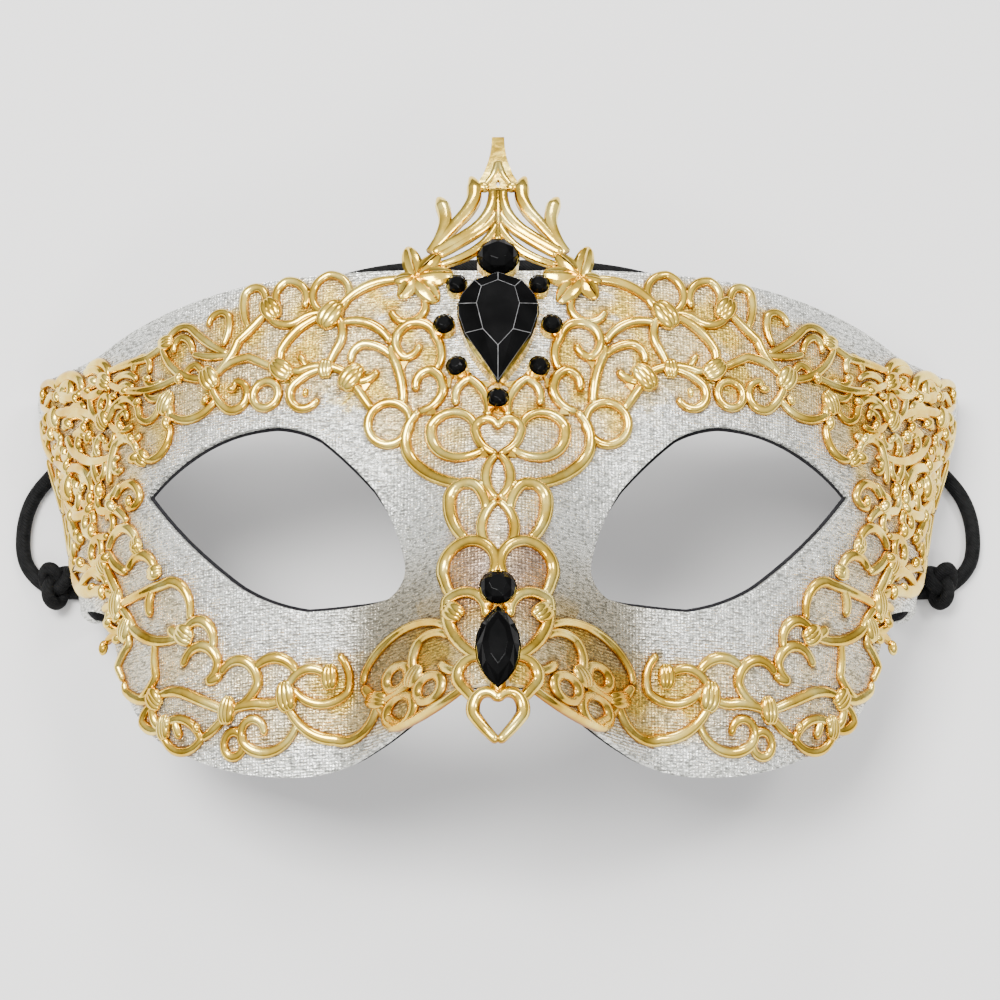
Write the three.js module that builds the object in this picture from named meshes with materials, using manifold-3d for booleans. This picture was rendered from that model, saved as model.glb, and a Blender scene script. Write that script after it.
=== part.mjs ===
// A half-face masquerade mask, lying on its back with the face up.
// Millimetres. +Z comes out of the face, +Y runs to the crown, +X is the viewer's right.
// The origin is on the table, under the middle of the mask.
//
// The face is one smooth surface. A place on it is given by u, the run measured round the
// face from its middle line, and v, the height up the face. Shell, lining, scrollwork and
// stones all sit on that surface, so they follow each other.

import * as THREE from 'three';
import { ParametricGeometry } from 'three/addons/geometries/ParametricGeometry.js';
import { mergeVertices } from 'three/addons/utils/BufferGeometryUtils.js';
import Module from 'manifold-3d';

const wasm = await Module();
wasm.setup();

// Face surface: a wide front arc that runs into a tighter arc at each temple.
const FRONT_RADIUS = 132;
const FRONT_TURN = 17.6;
const TEMPLE_RADIUS = 73;
const BROW_HEIGHT = 58.5;
const TEMPLE_RUN = 115;
const CHIN_TAPER = 0.0015;
const TAPER_FROM = 28;
// Each side turns in under itself towards its lower corner.
const SIDE_LEAN = 11.3;
const LEAN_FROM_U = 88;
const LEAN_TO_U = 124;
const LEAN_FROM_V = 12;
const LEAN_TO_V = -16;
// Above that the temples spread a little, most of all at their upper corners.
const SIDE_FLARE = 2.2;
const FLARE_FROM_U = 84;
const FLARE_TO_U = 104;
const FLARE_FULL_V = 24;
// Up and down the face: level at LEVEL_V, falling away to the cheeks and to the brow.
const LEVEL_V = 18;
const CHEEK_RADIUS = 150;
const BROW_RADIUS = 110;
// The nose ridge rises from between the brows to the lower edge.
const NOSE_RISE = 22;
const NOSE_START_V = 24;
const NOSE_END_V = -43;
const NOSE_HALF_START = 14;
const NOSE_HALF_END = 27;

// Thicknesses, and the clearance between pieces that lie on each other.
const SHELL_THICKNESS = 1.6;
const LINING_THICKNESS = 0.8;
const GAP = 0.3;
const LINING_GAP = 1.0;
// The lining stops this far along from the eye hole to the outer edge.
const LINING_REACH = 0.975;

// Scrollwork: cast wire with a sharp crest.
const WIRE_WIDTH = 1.8;
const WIRE_HEIGHT = 1.9;
const WIRE_LIFT = 0.6;
const WIRE_TURN = 58;
const WIRE_REACH = 0.6;
const BEAD_RADIUS = 1.6;
const BEAD_HEIGHT = 2.3;

// Stones.
const PAD_THICKNESS = 0.8;
const PAD_MARGIN = 0.7;
const PEAR_WIDTH = 13.6;
const PEAR_LENGTH = 21;
const PEAR_MIDDLE_V = 17.0;
const MARQUISE_WIDTH = 6.8;
const MARQUISE_LENGTH = 13.6;

// Elastic cord.
const CORD_DIAMETER = 2.8;
const CORD_SIDES = 8;
const CORD_STEPS = 60;

const rad = THREE.MathUtils.degToRad;

// The face surface.

function templeSection(u) {
  const side = Math.sign(u);
  const run = Math.abs(u);
  const frontTurn = rad(FRONT_TURN);
  const frontRun = FRONT_RADIUS * frontTurn;
  if (run <= frontRun) {
    const turn = run / FRONT_RADIUS;
    return [side * FRONT_RADIUS * Math.sin(turn), FRONT_RADIUS * (Math.cos(turn) - 1)];
  }
  const turn = frontTurn + (run - frontRun) / TEMPLE_RADIUS;
  const across = FRONT_RADIUS * Math.sin(frontTurn) + TEMPLE_RADIUS * (Math.sin(turn) - Math.sin(frontTurn));
  const drop = FRONT_RADIUS * (Math.cos(frontTurn) - 1) + TEMPLE_RADIUS * (Math.cos(turn) - Math.cos(frontTurn));
  return [side * across, drop];
}

function noseBump(u, v) {
  const down = Math.max(0, (NOSE_START_V - v) / (NOSE_START_V - NOSE_END_V));
  const half = NOSE_HALF_START + (NOSE_HALF_END - NOSE_HALF_START) * Math.min(down, 1.15);
  const across = Math.min(1, Math.abs(u) / half);
  return NOSE_RISE * down ** 1.6 * (1 + Math.cos(Math.PI * across)) / 2;
}

function sideLean(u, v) {
  const out = THREE.MathUtils.smoothstep(Math.abs(u), LEAN_FROM_U, LEAN_TO_U);
  const down = THREE.MathUtils.clamp((LEAN_FROM_V - v) / (LEAN_FROM_V - LEAN_TO_V), 0, 1.2);
  return Math.sign(u) * SIDE_LEAN * out * down;
}

function sideFlare(u, v) {
  const out = THREE.MathUtils.smoothstep(Math.abs(u), FLARE_FROM_U, FLARE_TO_U);
  const up = 0.5 + 0.5 * THREE.MathUtils.smoothstep(v, 0, FLARE_FULL_V);
  return Math.sign(u) * SIDE_FLARE * out * up;
}

function face(u, v) {
  const [across, drop] = templeSection(u);
  const taper = 1 - CHIN_TAPER * (TAPER_FROM - v) * (u / TEMPLE_RUN) ** 2;
  const fall = (v - LEVEL_V) ** 2 / (2 * (v < LEVEL_V ? CHEEK_RADIUS : BROW_RADIUS));
  return new THREE.Vector3(
    across * taper - sideLean(u, v) + sideFlare(u, v), v, BROW_HEIGHT + drop - fall + noseBump(u, v));
}

function faceNormal(u, v) {
  const e = 0.05;
  const alongU = face(u + e, v).sub(face(u - e, v));
  const alongV = face(u, v + e).sub(face(u, v - e));
  const normal = alongU.cross(alongV).normalize();
  if (u === 0) {
    normal.x = 0;
  }
  return normal.normalize();
}

function lifted(u, v, height) {
  return face(u, v).addScaledVector(faceNormal(u, v), height);
}

// Solids, and joining them.

function toSolid(geometry) {
  let merged = geometry.clone();
  merged.deleteAttribute('normal');
  merged.deleteAttribute('uv');
  merged = mergeVertices(merged, 1e-4);
  const points = merged.getAttribute('position');
  const index = Array.from(merged.index.array);
  const corners = [0, 1, 2].map(() => new THREE.Vector3());
  const faces = [];
  let volume = 0;
  for (let i = 0; i < index.length; i += 3) {
    const [a, b, c] = index.slice(i, i + 3);
    if (a !== b && b !== c && c !== a) {
      faces.push([a, b, c]);
      [a, b, c].forEach((corner, k) => corners[k].fromBufferAttribute(points, corner));
      volume += corners[0].dot(corners[1].cross(corners[2]));
    }
  }
  const outward = volume > 0 ? faces : faces.map(([a, b, c]) => [a, c, b]);
  return new wasm.Manifold(new wasm.Mesh({
    numProp: 3,
    vertProperties: new Float32Array(points.array),
    triVerts: new Uint32Array(outward.flat()),
  }));
}

function toGeometry(solid) {
  const mesh = solid.getMesh();
  const geometry = new THREE.BufferGeometry();
  geometry.setAttribute('position', new THREE.BufferAttribute(new Float32Array(mesh.vertProperties), 3));
  geometry.setIndex(Array.from(mesh.triVerts));
  geometry.computeVertexNormals();
  return geometry;
}

function bentOntoFace(geometry) {
  const points = geometry.getAttribute('position');
  const at = new THREE.Vector3();
  for (let i = 0; i < points.count; i += 1) {
    at.fromBufferAttribute(points, i);
    const bent = lifted(Math.abs(at.x) < 1e-4 ? 0 : at.x, at.y, at.z);
    points.setXYZ(i, bent.x, bent.y, bent.z);
  }
  geometry.computeVertexNormals();
  return geometry;
}

function joinAll(solids) {
  return solids.reduce((whole, next) => whole.add(next));
}

function mirrored(geometry) {
  return geometry.clone().scale(-1, 1, 1);
}

// Curves drawn on the face.

// A circular arc from a to b that turns by the given degrees, to the left when positive.
function arcCurve(a, b, turn) {
  if (Math.abs(turn) < 1) {
    return new THREE.LineCurve(a, b);
  }
  const half = rad(turn) / 2;
  const chord = b.clone().sub(a);
  const radius = chord.length() / (2 * Math.sin(half));
  const left = new THREE.Vector2(-chord.y, chord.x).normalize();
  const centre = a.clone().add(b).multiplyScalar(0.5).addScaledVector(left, radius * Math.cos(half));
  const start = Math.atan2(a.y - centre.y, a.x - centre.x);
  return new THREE.EllipseCurve(
    centre.x, centre.y, Math.abs(radius), Math.abs(radius), start, start + rad(turn), turn < 0);
}

// A chain starts at [u, v] and goes on with [u, v, turn] for each arc.
function chainCurves(chain) {
  return chain.slice(1).map(([u, v, turn], i) => arcCurve(
    new THREE.Vector2(chain[i][0], chain[i][1]), new THREE.Vector2(u, v), turn));
}

function chainEven(chain, steps) {
  const path = new THREE.CurvePath();
  chainCurves(chain).forEach((curve) => path.add(curve));
  return path.getSpacedPoints(steps);
}

function chainByTurn(chain) {
  const points = [new THREE.Vector2(chain[0][0], chain[0][1])];
  chainCurves(chain).forEach((curve, i) => {
    const steps = Math.max(1, Math.round(Math.abs(chain[i + 1][2]) / WIRE_TURN));
    points.push(...curve.getPoints(steps).slice(1));
  });
  return points;
}

// Shell and lining.

// Eye hole and outer edge are drawn as matching lengths, and the sheet is spread between them.
const EYE_EDGE = [
  { steps: 7, chain: [[30.6, 0.4], [20.8, -9.3, 10], [15.6, -22.5, 22]] },
  { steps: 6, chain: [[15.6, -22.5], [18.6, -27.6, 78], [32.8, -28.4, 8]] },
  { steps: 8, chain: [[32.8, -28.4], [46, -23.2, 22], [67, -4.6, 12]] },
  { steps: 8, chain: [[67, -4.6], [53.4, 1.6, 14]] },
  { steps: 6, chain: [[53.4, 1.6], [39.2, 3.5, 18], [30.6, 0.4, 24]] },
];
const OUTER_EDGE = [
  { steps: 7, chain: [[0, 30], [0, -46.4, 0]] },
  { steps: 6, chain: [[0, -46.4], [11, -47.6, -12], [22, -52, 8], [34, -54.4, 24]] },
  { steps: 8, chain: [[34, -54.4], [58, -49, 24], [76, -33, 50], [81, -22, -30], [103, -18, -20], [111.2, -16, 20]] },
  { steps: 8, chain: [[111.2, -16], [107.4, -10.5, -24], [107.6, 14, -6], [114.4, 28.5, -26]] },
  { steps: 6, chain: [[114.4, 28.5], [104, 29.5, 34], [81, 26.6, -14], [43, 31.2, 6], [0, 30, 4]] },
];
const SHEET_RINGS = 4;

function edgePoints(edge) {
  return edge.flatMap(({ steps, chain }) => chainEven(chain, steps).slice(0, -1));
}

function halfSheet(outerLift, innerLift, reach) {
  const eye = edgePoints(EYE_EDGE);
  const outer = edgePoints(OUTER_EDGE);
  const count = eye.length;
  const wallSteps = 2 * SHEET_RINGS + 2;
  const place = (ring, spread, lift) => {
    const at = eye[ring].clone().lerp(outer[ring], Math.min(spread, reach));
    at.x = outer[ring].x === 0 && spread === 1 ? 0 : at.x;
    return lifted(Math.abs(at.x) < 1e-6 ? 0 : at.x, at.y, lift);
  };
  return new ParametricGeometry((s, t, target) => {
    const ring = Math.round(s * count) % count;
    const step = Math.round(t * wallSteps) % wallSteps;
    if (step <= SHEET_RINGS) {
      target.copy(place(ring, step / SHEET_RINGS, outerLift));
    } else {
      target.copy(place(ring, (2 * SHEET_RINGS + 1 - step) / SHEET_RINGS, innerLift));
    }
  }, count, wallSteps);
}

function wholeSheet(outerLift, innerLift, reach) {
  const half = halfSheet(outerLift, innerLift, reach);
  return toSolid(half).add(toSolid(mirrored(half)));
}

const shellGeometry = toGeometry(wholeSheet(0, -SHELL_THICKNESS, 1));
const liningTop = -SHELL_THICKNESS - LINING_GAP;
// Drawn from its under side up, so that its facets run as those above it do.
const liningGeometry = toGeometry(wholeSheet(
  liningTop - LINING_THICKNESS, liningTop, LINING_REACH));

// Scrollwork. It is put together flat, with x = u, y = v and z = height above the cloth,
// and the finished flat casting is bent onto the face.

// One wire: a three-sided bar that stands on the cloth and runs out to a point at both ends.
function wire(points, width = WIRE_WIDTH, height = WIRE_HEIGHT) {
  const first = points[0].clone().sub(points[1]).setLength(WIRE_REACH).add(points[0]);
  const end = points.at(-1).clone().sub(points.at(-2)).setLength(WIRE_REACH).add(points.at(-1));
  const line = [first, ...points.slice(1, -1), end];
  if (line.length === 2) {
    line.splice(1, 0, points[0].clone().lerp(points.at(-1), 0.5));
  }
  return wireBody(line, width, height, false);
}

// The step in u and v that goes the given distance square to a wire, measured on the face.
function stepAcross(at, ahead, distance) {
  const e = 0.05;
  const alongU = face(at.x + e, at.y).sub(face(at.x - e, at.y)).divideScalar(2 * e);
  const alongV = face(at.x, at.y + e).sub(face(at.x, at.y - e)).divideScalar(2 * e);
  const run = alongU.clone().multiplyScalar(ahead.x).addScaledVector(alongV, ahead.y);
  const across = run.cross(faceNormal(at.x, at.y)).setLength(distance);
  const uu = alongU.dot(alongU);
  const uv = alongU.dot(alongV);
  const vv = alongV.dot(alongV);
  const size = uu * vv - uv * uv;
  return new THREE.Vector2(
    (across.dot(alongU) * vv - across.dot(alongV) * uv) / size,
    (across.dot(alongV) * uu - across.dot(alongU) * uv) / size);
}

function wireBody(line, width, height, closed) {
  const count = line.length;
  const sections = line.map((at, i) => {
    const before = line[closed ? (i + count - 1) % count : Math.max(0, i - 1)];
    const after = line[closed ? (i + 1) % count : Math.min(count - 1, i + 1)];
    if (!closed && (i === 0 || i === count - 1)) {
      const point = new THREE.Vector3(at.x, at.y, WIRE_LIFT + height / 2);
      return [point, point, point];
    }
    const side = stepAcross(at, after.clone().sub(before), width / 2);
    return [
      new THREE.Vector3(at.x - side.x, at.y - side.y, WIRE_LIFT),
      new THREE.Vector3(at.x + side.x, at.y + side.y, WIRE_LIFT),
      new THREE.Vector3(at.x, at.y, WIRE_LIFT + height),
    ];
  });
  const steps = closed ? count : count - 1;
  return new ParametricGeometry((s, t, target) => {
    target.copy(sections[Math.round(t * steps) % count][Math.round(s * 3) % 3]);
  }, 3, steps);
}

function ring(u, v, radius, sides = 7, width = WIRE_WIDTH) {
  const circle = new THREE.EllipseCurve(u, v, radius, radius).getPoints(sides).slice(0, -1);
  return wireBody(circle, width, WIRE_HEIGHT, true);
}

function bead(u, v, radius = BEAD_RADIUS) {
  const boss = new THREE.CylinderGeometry(radius * 0.45, radius, BEAD_HEIGHT, 5);
  return boss.rotateX(Math.PI / 2).translate(u, v, WIRE_LIFT + BEAD_HEIGHT / 2);
}

// Wires of one half, from the middle of the face outwards. u, v, then u, v, turn for each arc.
const CENTRE_WIRES = [
  [[13.1, 25.2], [18.5, 23, 210]],
  [[16.5, 28.7], [28.6, 22.9, -60]],
  [[13.5, 16.4], [15.9, 13.8, 90], [10.6, 17.3, 230], [10.6, 11.1, 70]],
  [[13.3, 4.2], [14.4, -4.7, -90], [1, -11.6, -50]],
  [[28.2, 22], [18.3, 16.5, 80]],
  [[18.3, 16.5], [15.7, 5.4, 10]],
  [[25.2, 13.3], [22.8, 16.8, 110], [17.9, 13.7, 50]],
  [[6.8, 3.6], [5, 9.6, 110], [2, 1.7, 70]],
  [[4.4, -1.5], [11.2, 0.9, -150], [0.6, -5.4, -140]],
  [[0, -1.1], [3.6, -1.8, -210], [0, -5.9, -60]],
  [[0, -5.7], [0, -14.3, -100]],
  [[0, -14.5], [1.2, -23.2, -100]],
  [[1.6, -16.3], [3.3, -11.8, -40], [7.9, -12.9, -130], [5, -21.3, -50]],
  [[1.2, -28.3], [8.6, -27.5, -240], [7.3, -30.2, -20]],
  [[2, -35.4], [8, -31.1, -140], [2.6, -42.8, -70]],
  [[2.3, -42.3], [5.7, -46.3, -160], [3.9, -50, 0]],
  [[0, -50.6], [3.1, -48.6, -160], [0, -56.3, -60]],
];
const BROW_WIRES = [
  [[29.1, 23.6], [29.7, 30.9, -170], [29.1, 23.4, -150]],
  [[39.6, 25.4], [37.5, 30.5, 110], [34.2, 22.6, 120]],
  [[44.3, 22.2], [45.4, 28.9, 40], [41.6, 28.7, 140], [40.3, 25.7, 10]],
  [[41.2, 25.3], [35, 22.3, -100], [29.5, 23, 60]],
  [[40.7, 25.2], [46.4, 20, 10], [51.2, 14.4, 40]],
  [[29.8, 23.1], [38.2, 16.9, -50], [38.1, 13.9, -10]],
  [[28.6, 22.1], [27.4, 17.2, 70], [29.6, 13, -10]],
  [[37.9, 13], [34.6, 12.8, 0], [25.1, 11, 60]],
  [[29.6, 12.8], [34.9, 11, -40], [31.1, 7.7, -220]],
  [[25.3, 10.6], [21.6, 4.2, 0]],
  [[52, 13.9], [48.6, 7.9, -40], [46.5, 12.5, -210]],
  [[51.6, 13.8], [44.1, 16.6, 50], [38.3, 13.4, 0]],
  [[62, 22.8], [55.7, 23.8, 120], [47.2, 19, -20]],
  [[62, 11.4], [50.4, 10.8, -120]],
  [[62.9, 21.8], [52, 14, -70]],
];
const TEMPLE_WIRES = [
  [[106.8, 22.5], [104, 28, -60], [95.6, 24, 60]],
  [[97.4, 24.6], [88.1, 23.3, 70], [87.4, 20.4, 40]],
  [[79.6, 20.8], [61.4, 22.8, -10]],
  [[79.3, 20.4], [76, 18.4, 0], [57.2, 15.9, -50]],
  [[84.4, 19.1], [78.2, 12.3, -90], [76.6, 13.7, -40], [68.6, 10.8, 130], [61.6, 11.6, -140]],
  [[95.4, 14.2], [99.9, 18.2, 10], [97.6, 19.8, 100], [82.4, 13.8, 30]],
  [[94.4, 14.2], [88.3, 8.5, -50], [75.7, 5.4, -40]],
  [[79.8, -1.2], [75.2, 7.1, 40], [68, 3, 100]],
  [[61.6, 11.6], [61, 7.6, 70], [67.7, 2.8, 150]],
  [[97.4, 24.6], [87.7, 21.1, -60], [79.3, 20.4, -50]],
  [[106.8, 22.5], [99.9, 11.4, -40]],
  [[75.6, -3], [68.2, -4.4, 140], [72.2, -5.1, 80]],
  [[80.3, 0.8], [80.4, -3.8, -120], [71.8, -5.1, -20]],
  [[93.9, 4], [94.4, -0.4, -90], [80.7, -1.6, -50]],
  [[85.2, -1.4], [86.3, -6.2, -140], [80.1, -8.8, -30]],
  [[81.4, -11.2], [69.1, -12.6, 150]],
  [[81.2, -11.6], [75.3, -20.8, 20]],
  [[94.2, 0], [88.3, -7.1, -50]],
  [[85.4, -8], [96.2, -10.9, -120], [86.3, -16.7, -60], [75.5, -21, 20]],
];
const CHEEK_WIRES = [
  [[75.5, -21.7], [60.6, -20.3, 0], [56.7, -26.6, 100]],
  [[75.5, -21.7], [70.7, -26.5, 40], [57.7, -29.6, -50]],
  [[57.7, -29.3], [50.4, -33.8, 190]],
  [[57.8, -34.9], [49.9, -35, 150], [52.7, -37.8, 70]],
  [[64.6, -28.7], [64.5, -35.3, -30], [65, -38.9, 20]],
  [[71.6, -25], [76.2, -31.8, 60], [74.3, -36.4, -60], [65, -38.9, -50]],
  [[65, -38.9], [57, -39.3, 40], [48.6, -42.6, 0]],
  [[49.3, -37.2], [41.9, -39.1, 150], [47.6, -42.7, 60]],
  [[47.6, -42.9], [41.6, -42.3, 20], [36.7, -41.7, -40]],
  [[40.9, -47.5], [44.4, -48.8, -250], [32.9, -46.4, -110]],
  [[48, -43.1], [53.9, -46.8, 30]],
  [[53.4, -46.4], [63.2, -45, 110], [54.1, -45.9, 130]],
  [[36.5, -41.4], [28.8, -39.2, 140]],
  [[36.5, -41.4], [35, -40.8, 40], [25.4, -41.5, -90], [27.2, -36.5, -70]],
  [[36.9, -41.8], [27.7, -48.8, -70], [20.1, -44.1, -110]],
  [[6.4, -36.1], [22.2, -38.8, -100], [20.1, -43.8, -50]],
  [[5.6, -39.2], [12.5, -37.2, -90], [14.6, -42.2, -60]],
  [[20.1, -44.1], [15.6, -49.6, -40], [4.6, -46.8, -30]],
];
const BEADS = [
  [13.7, 28.7], [29, 22.8], [40.3, 25.3], [37.9, 13.5], [25.1, 10.8], [52, 14],
  [79.3, 20.4], [75.5, -21.2], [57.2, -29.6], [48, -42.8], [49.3, -46], [36.5, -41.5], [20.1, -43.8],
];
const RINGS = [
  [18.5, 2.2, 3.6], [40.8, 9.3, 2.3], [83.2, -9.6, 2.2], [46.9, -48.3, 2], [11, -45.1, 2.1],
  [16.3, -41.2, 2], [16, -47, 2.3],
];

// Leaves, each from a foot to a tip, with its width.
const LEAVES = [
  [14.2, 29, 14.8, 35.6, 2.7], [13.9, 29, 11.9, 34.2, 2.3], [13.6, 29, 7.6, 29.8, 3],
  [13.8, 28.6, 10.2, 23.6, 3], [14.4, 28.6, 17.3, 25, 2.6], [14.6, 28.8, 17.6, 30.2, 2],
];

// Crown: a spire and two flames on each side, on three curved arms.
const CROWN_WIRES = [
  { width: 1.6, chain: [[0.5, 59.6], [0.5, 56.4, 0], [1.3, 51.8, 8], [2.6, 48.4, 8]] },
  { width: 1.5, chain: [[2.6, 48.8], [0, 46.4, 0]] },
  { width: 1.9, chain: [[0, 46.8], [0, 35.4, 0]] },
  { width: 2, chain: [[4.4, 50.8], [4.5, 44.6, 38], [8.6, 39.2, 23], [11.4, 34.6, -14]] },
  { width: 1.9, chain: [[9.7, 46.2], [9.5, 40.3, 30], [11.8, 34.4, 14]] },
  { width: 1.5, chain: [[2, 48.6], [3, 43.6, 30], [8.5, 38.5, 30]] },
  { width: 1.5, chain: [[0.3, 47.4], [2.4, 41.4, 40], [11.2, 34.6, 10]] },
  { width: 1.4, chain: [[0, 43.8], [3.2, 38.2, 35], [11.4, 33, 5]] },
  { width: 1.4, chain: [[0, 40.1], [3.4, 36.2, 20], [11.2, 31.4, 5]] },
];

// Stones, and the pads that carry them.

// Girdle outlines, as half widths on either side of the middle line.
function roundOutline(radius, sides) {
  return new THREE.EllipseCurve(0, 0, radius, radius).getPoints(sides).slice(0, -1);
}

function pearOutline(width, length) {
  const radius = width / 2;
  const centre = length / 2 - radius;
  const reach = centre + length / 2;
  const lean = Math.asin(radius * 0.86 / reach);
  const dome = new THREE.EllipseCurve(0, centre, radius, radius, -lean, Math.PI + lean).getPoints(11);
  const shoulder = dome[0];
  const side = new THREE.QuadraticBezierCurve(
    dome.at(-1), new THREE.Vector2(-shoulder.x * 0.82, -length * 0.2), new THREE.Vector2(0, -length / 2));
  const left = side.getPoints(3).slice(1);
  const right = left.slice(0, -1).reverse().map((at) => new THREE.Vector2(-at.x, at.y));
  return [...dome, ...left, ...right];
}

function marquiseOutline(width, length) {
  const turn = 4 * Math.atan(width / length) * 180 / Math.PI;
  const top = new THREE.Vector2(0, length / 2);
  const foot = new THREE.Vector2(0, -length / 2);
  const down = arcCurve(top, foot, turn).getPoints(6).slice(0, -1);
  const up = arcCurve(foot, top, turn).getPoints(6).slice(0, -1);
  return [...down, ...up];
}

// A solid of stacked outlines: each level is [scale across, scale along, height].
function stacked(outline, levels) {
  const count = outline.length;
  return new ParametricGeometry((s, t, target) => {
    const at = outline[Math.round(s * count) % count];
    const [across, along, height] = levels[Math.round(t * (levels.length - 1))];
    target.set(at.x * across, at.y * along, height);
  }, count, levels.length - 1);
}

function stoneGeometry(outline, height, table) {
  const girdle = height * 0.3;
  return stacked(outline, [
    [0, 0, 0], [1, 1, 0], [1, 1, girdle], [table, table, height], [0, 0, height],
  ]);
}

function padGeometry(u, v, lift, outline) {
  const halfWidth = Math.max(...outline.map((at) => at.x));
  const halfLength = Math.max(...outline.map((at) => at.y));
  const across = (halfWidth + PAD_MARGIN) / halfWidth;
  const along = (halfLength + PAD_MARGIN) / halfLength;
  return stacked(outline, [
    [0, 0, 0], [across, along, 0], [across, along, PAD_THICKNESS], [0, 0, PAD_THICKNESS],
  ]).translate(u, v, lift);
}

const PEAR = pearOutline(PEAR_WIDTH, PEAR_LENGTH);
const MARQUISE = marquiseOutline(MARQUISE_WIDTH, MARQUISE_LENGTH);
const STONES = [
  { name: 'stone_pear', u: 0, v: PEAR_MIDDLE_V, lift: 0.9, outline: PEAR, height: 3.4, table: 0.56 },
  { name: 'stone_top', u: 0, v: 31.6, lift: 0.7, outline: roundOutline(3.5, 12), height: 2.6, table: 0.5 },
  { name: 'stone_foot', u: 0, v: 3.9, lift: 0.7, outline: roundOutline(1.65, 8), height: 1.5, table: 0.5 },
  { name: 'stone_nose', u: 0, v: -31.1, lift: 0.8, outline: roundOutline(2.8, 10), height: 2.1, table: 0.5 },
  { name: 'stone_marquise', u: 0, v: -41.3, lift: 0.8, outline: MARQUISE, height: 2.6, table: 0.5 },
];
const SIDE_STONES = [
  { name: 'stone_side_upper', u: 7.0, v: 26.4 },
  { name: 'stone_side_middle', u: 9.0, v: 18.8 },
  { name: 'stone_side_lower', u: 6.6, v: 10.6 },
];
SIDE_STONES.forEach(({ name, u, v }) => {
  const cut = { v, lift: 0.7, outline: roundOutline(1.65, 8), height: 1.5, table: 0.5 };
  STONES.push({ name: `${name}_right`, u, ...cut });
  STONES.push({ name: `${name}_left`, u: -u, ...cut });
});

// Where a stone sits: square to the face, and clear of the bent pad at every corner.
function seatMatrix(u, v, lift, outline) {
  const normal = faceNormal(u, v);
  const across = new THREE.Vector3(1, 0, 0).addScaledVector(normal, -normal.x).normalize();
  const along = normal.clone().cross(across);
  const middle = lifted(u, v, lift + PAD_THICKNESS);
  const rise = Math.max(0, ...outline.map((at) => lifted(
    u + at.x, v + at.y, lift + PAD_THICKNESS).sub(middle).dot(normal)));
  return new THREE.Matrix4().makeBasis(across, along, normal).setPosition(
    middle.addScaledVector(normal, rise + GAP));
}

// The whole scrollwork.

const wireGeometries = [
  ...[...CENTRE_WIRES, ...BROW_WIRES, ...TEMPLE_WIRES, ...CHEEK_WIRES].map(
    (chain) => wire(chainByTurn(chain))),
  ...CROWN_WIRES.map(({ width, chain }) => wire(chainByTurn(chain), width, 1.8)),
  ...LEAVES.map(([u0, v0, u1, v1, width]) => wire(
    [0, 0.5, 1].map((k) => new THREE.Vector2(u0, v0).lerp(new THREE.Vector2(u1, v1), k)), width, 2.2)),
  ...RINGS.map(([u, v, radius]) => ring(u, v, radius)),
  ...BEADS.map(([u, v]) => bead(u, v)),
];
const halfWires = joinAll(wireGeometries.map(toSolid));
const otherWires = joinAll(wireGeometries.map((geometry) => toSolid(mirrored(geometry))));
const pads = STONES.map(({ u, v, lift, outline }) => toSolid(padGeometry(u, v, lift, outline)));
const filigreeGeometry = bentOntoFace(toGeometry(joinAll([halfWires, otherWires, ...pads])));

// Elastic cord.

// It leaves the inside of one temple, passes out under the arch of the side edge, loops on
// the table beside the mask, passes in again, runs round behind the brow and comes back to
// the other temple the same way.
const CORD_REST = CORD_DIAMETER / 2 + 0.1;
const CORD_HALF = [
  [0, 58.4, CORD_REST], [29, 55.8, CORD_REST], [56, 42, CORD_REST], [75, 27, CORD_REST],
  [85, 15.5, CORD_REST], [90, 8.5, CORD_REST], [91.4, 1.5, CORD_REST], [90.2, -5, CORD_REST],
  [85.2, -9.6, CORD_REST], [77.5, -10.4, 1.8], [72, -10.2, 3.9], [69.6, -9.6, 8.5],
  [70.6, -8.8, 13.6],
];

function cordGeometry() {
  const right = CORD_HALF.map(([x, y, z]) => new THREE.Vector3(x, y, z));
  const left = right.slice(1).reverse().map((at) => new THREE.Vector3(-at.x, at.y, at.z));
  const path = new THREE.CatmullRomCurve3([...left, ...right], false, 'centripetal');
  const section = new THREE.Shape(new THREE.EllipseCurve(
    0, 0, CORD_DIAMETER / 2, CORD_DIAMETER / 2).getPoints(CORD_SIDES).slice(0, -1));
  return new THREE.ExtrudeGeometry(section, { steps: CORD_STEPS, extrudePath: path });
}

// The mask.

const cloth = new THREE.MeshStandardMaterial({ color: 0xd4d6d5, roughness: 0.5, metalness: 0.6 });
const felt = new THREE.MeshStandardMaterial({ color: 0x141416, roughness: 0.95, metalness: 0 });
const gold = new THREE.MeshStandardMaterial({ color: 0xedbe66, roughness: 0.2, metalness: 1 });
const jet = new THREE.MeshStandardMaterial({ color: 0x07070a, roughness: 0.08, metalness: 0 });
const elastic = new THREE.MeshStandardMaterial({ color: 0x17161b, roughness: 0.85, metalness: 0 });

const mask = new THREE.Group();

function addMesh(name, geometry, material) {
  const mesh = new THREE.Mesh(geometry, material.clone());
  mesh.name = name;
  mask.add(mesh);
  return mesh;
}

addMesh('mask_shell', shellGeometry, cloth);
addMesh('lining', liningGeometry, felt);
addMesh('filigree', filigreeGeometry, gold);
STONES.forEach(({ name, u, v, lift, outline, height, table }) => {
  const mesh = addMesh(name, stoneGeometry(outline, height, table), jet);
  const seat = seatMatrix(u, v, lift, outline);
  seat.decompose(mesh.position, mesh.quaternion, mesh.scale);
});
// The origin goes under the middle of the mask, level with the table.
const extent = new THREE.Box3().setFromObject(mask);
addMesh('elastic_cord', cordGeometry(), elastic);
mask.position.set(0, -(extent.min.y + extent.max.y) / 2, -extent.min.z);

export default mask;
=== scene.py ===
# %% [markdown]
# # A half-face masquerade mask
# The mask lies on its back with the face up. It is a stiff shell covered in silver cloth,
# with a black lining under it, one cast gold scrollwork on top, black cut stones and a
# black elastic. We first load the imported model: every piece below is built in that frame,
# in metres, with +Z out of the face, +Y to the crown and +X to the viewer's right.

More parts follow.
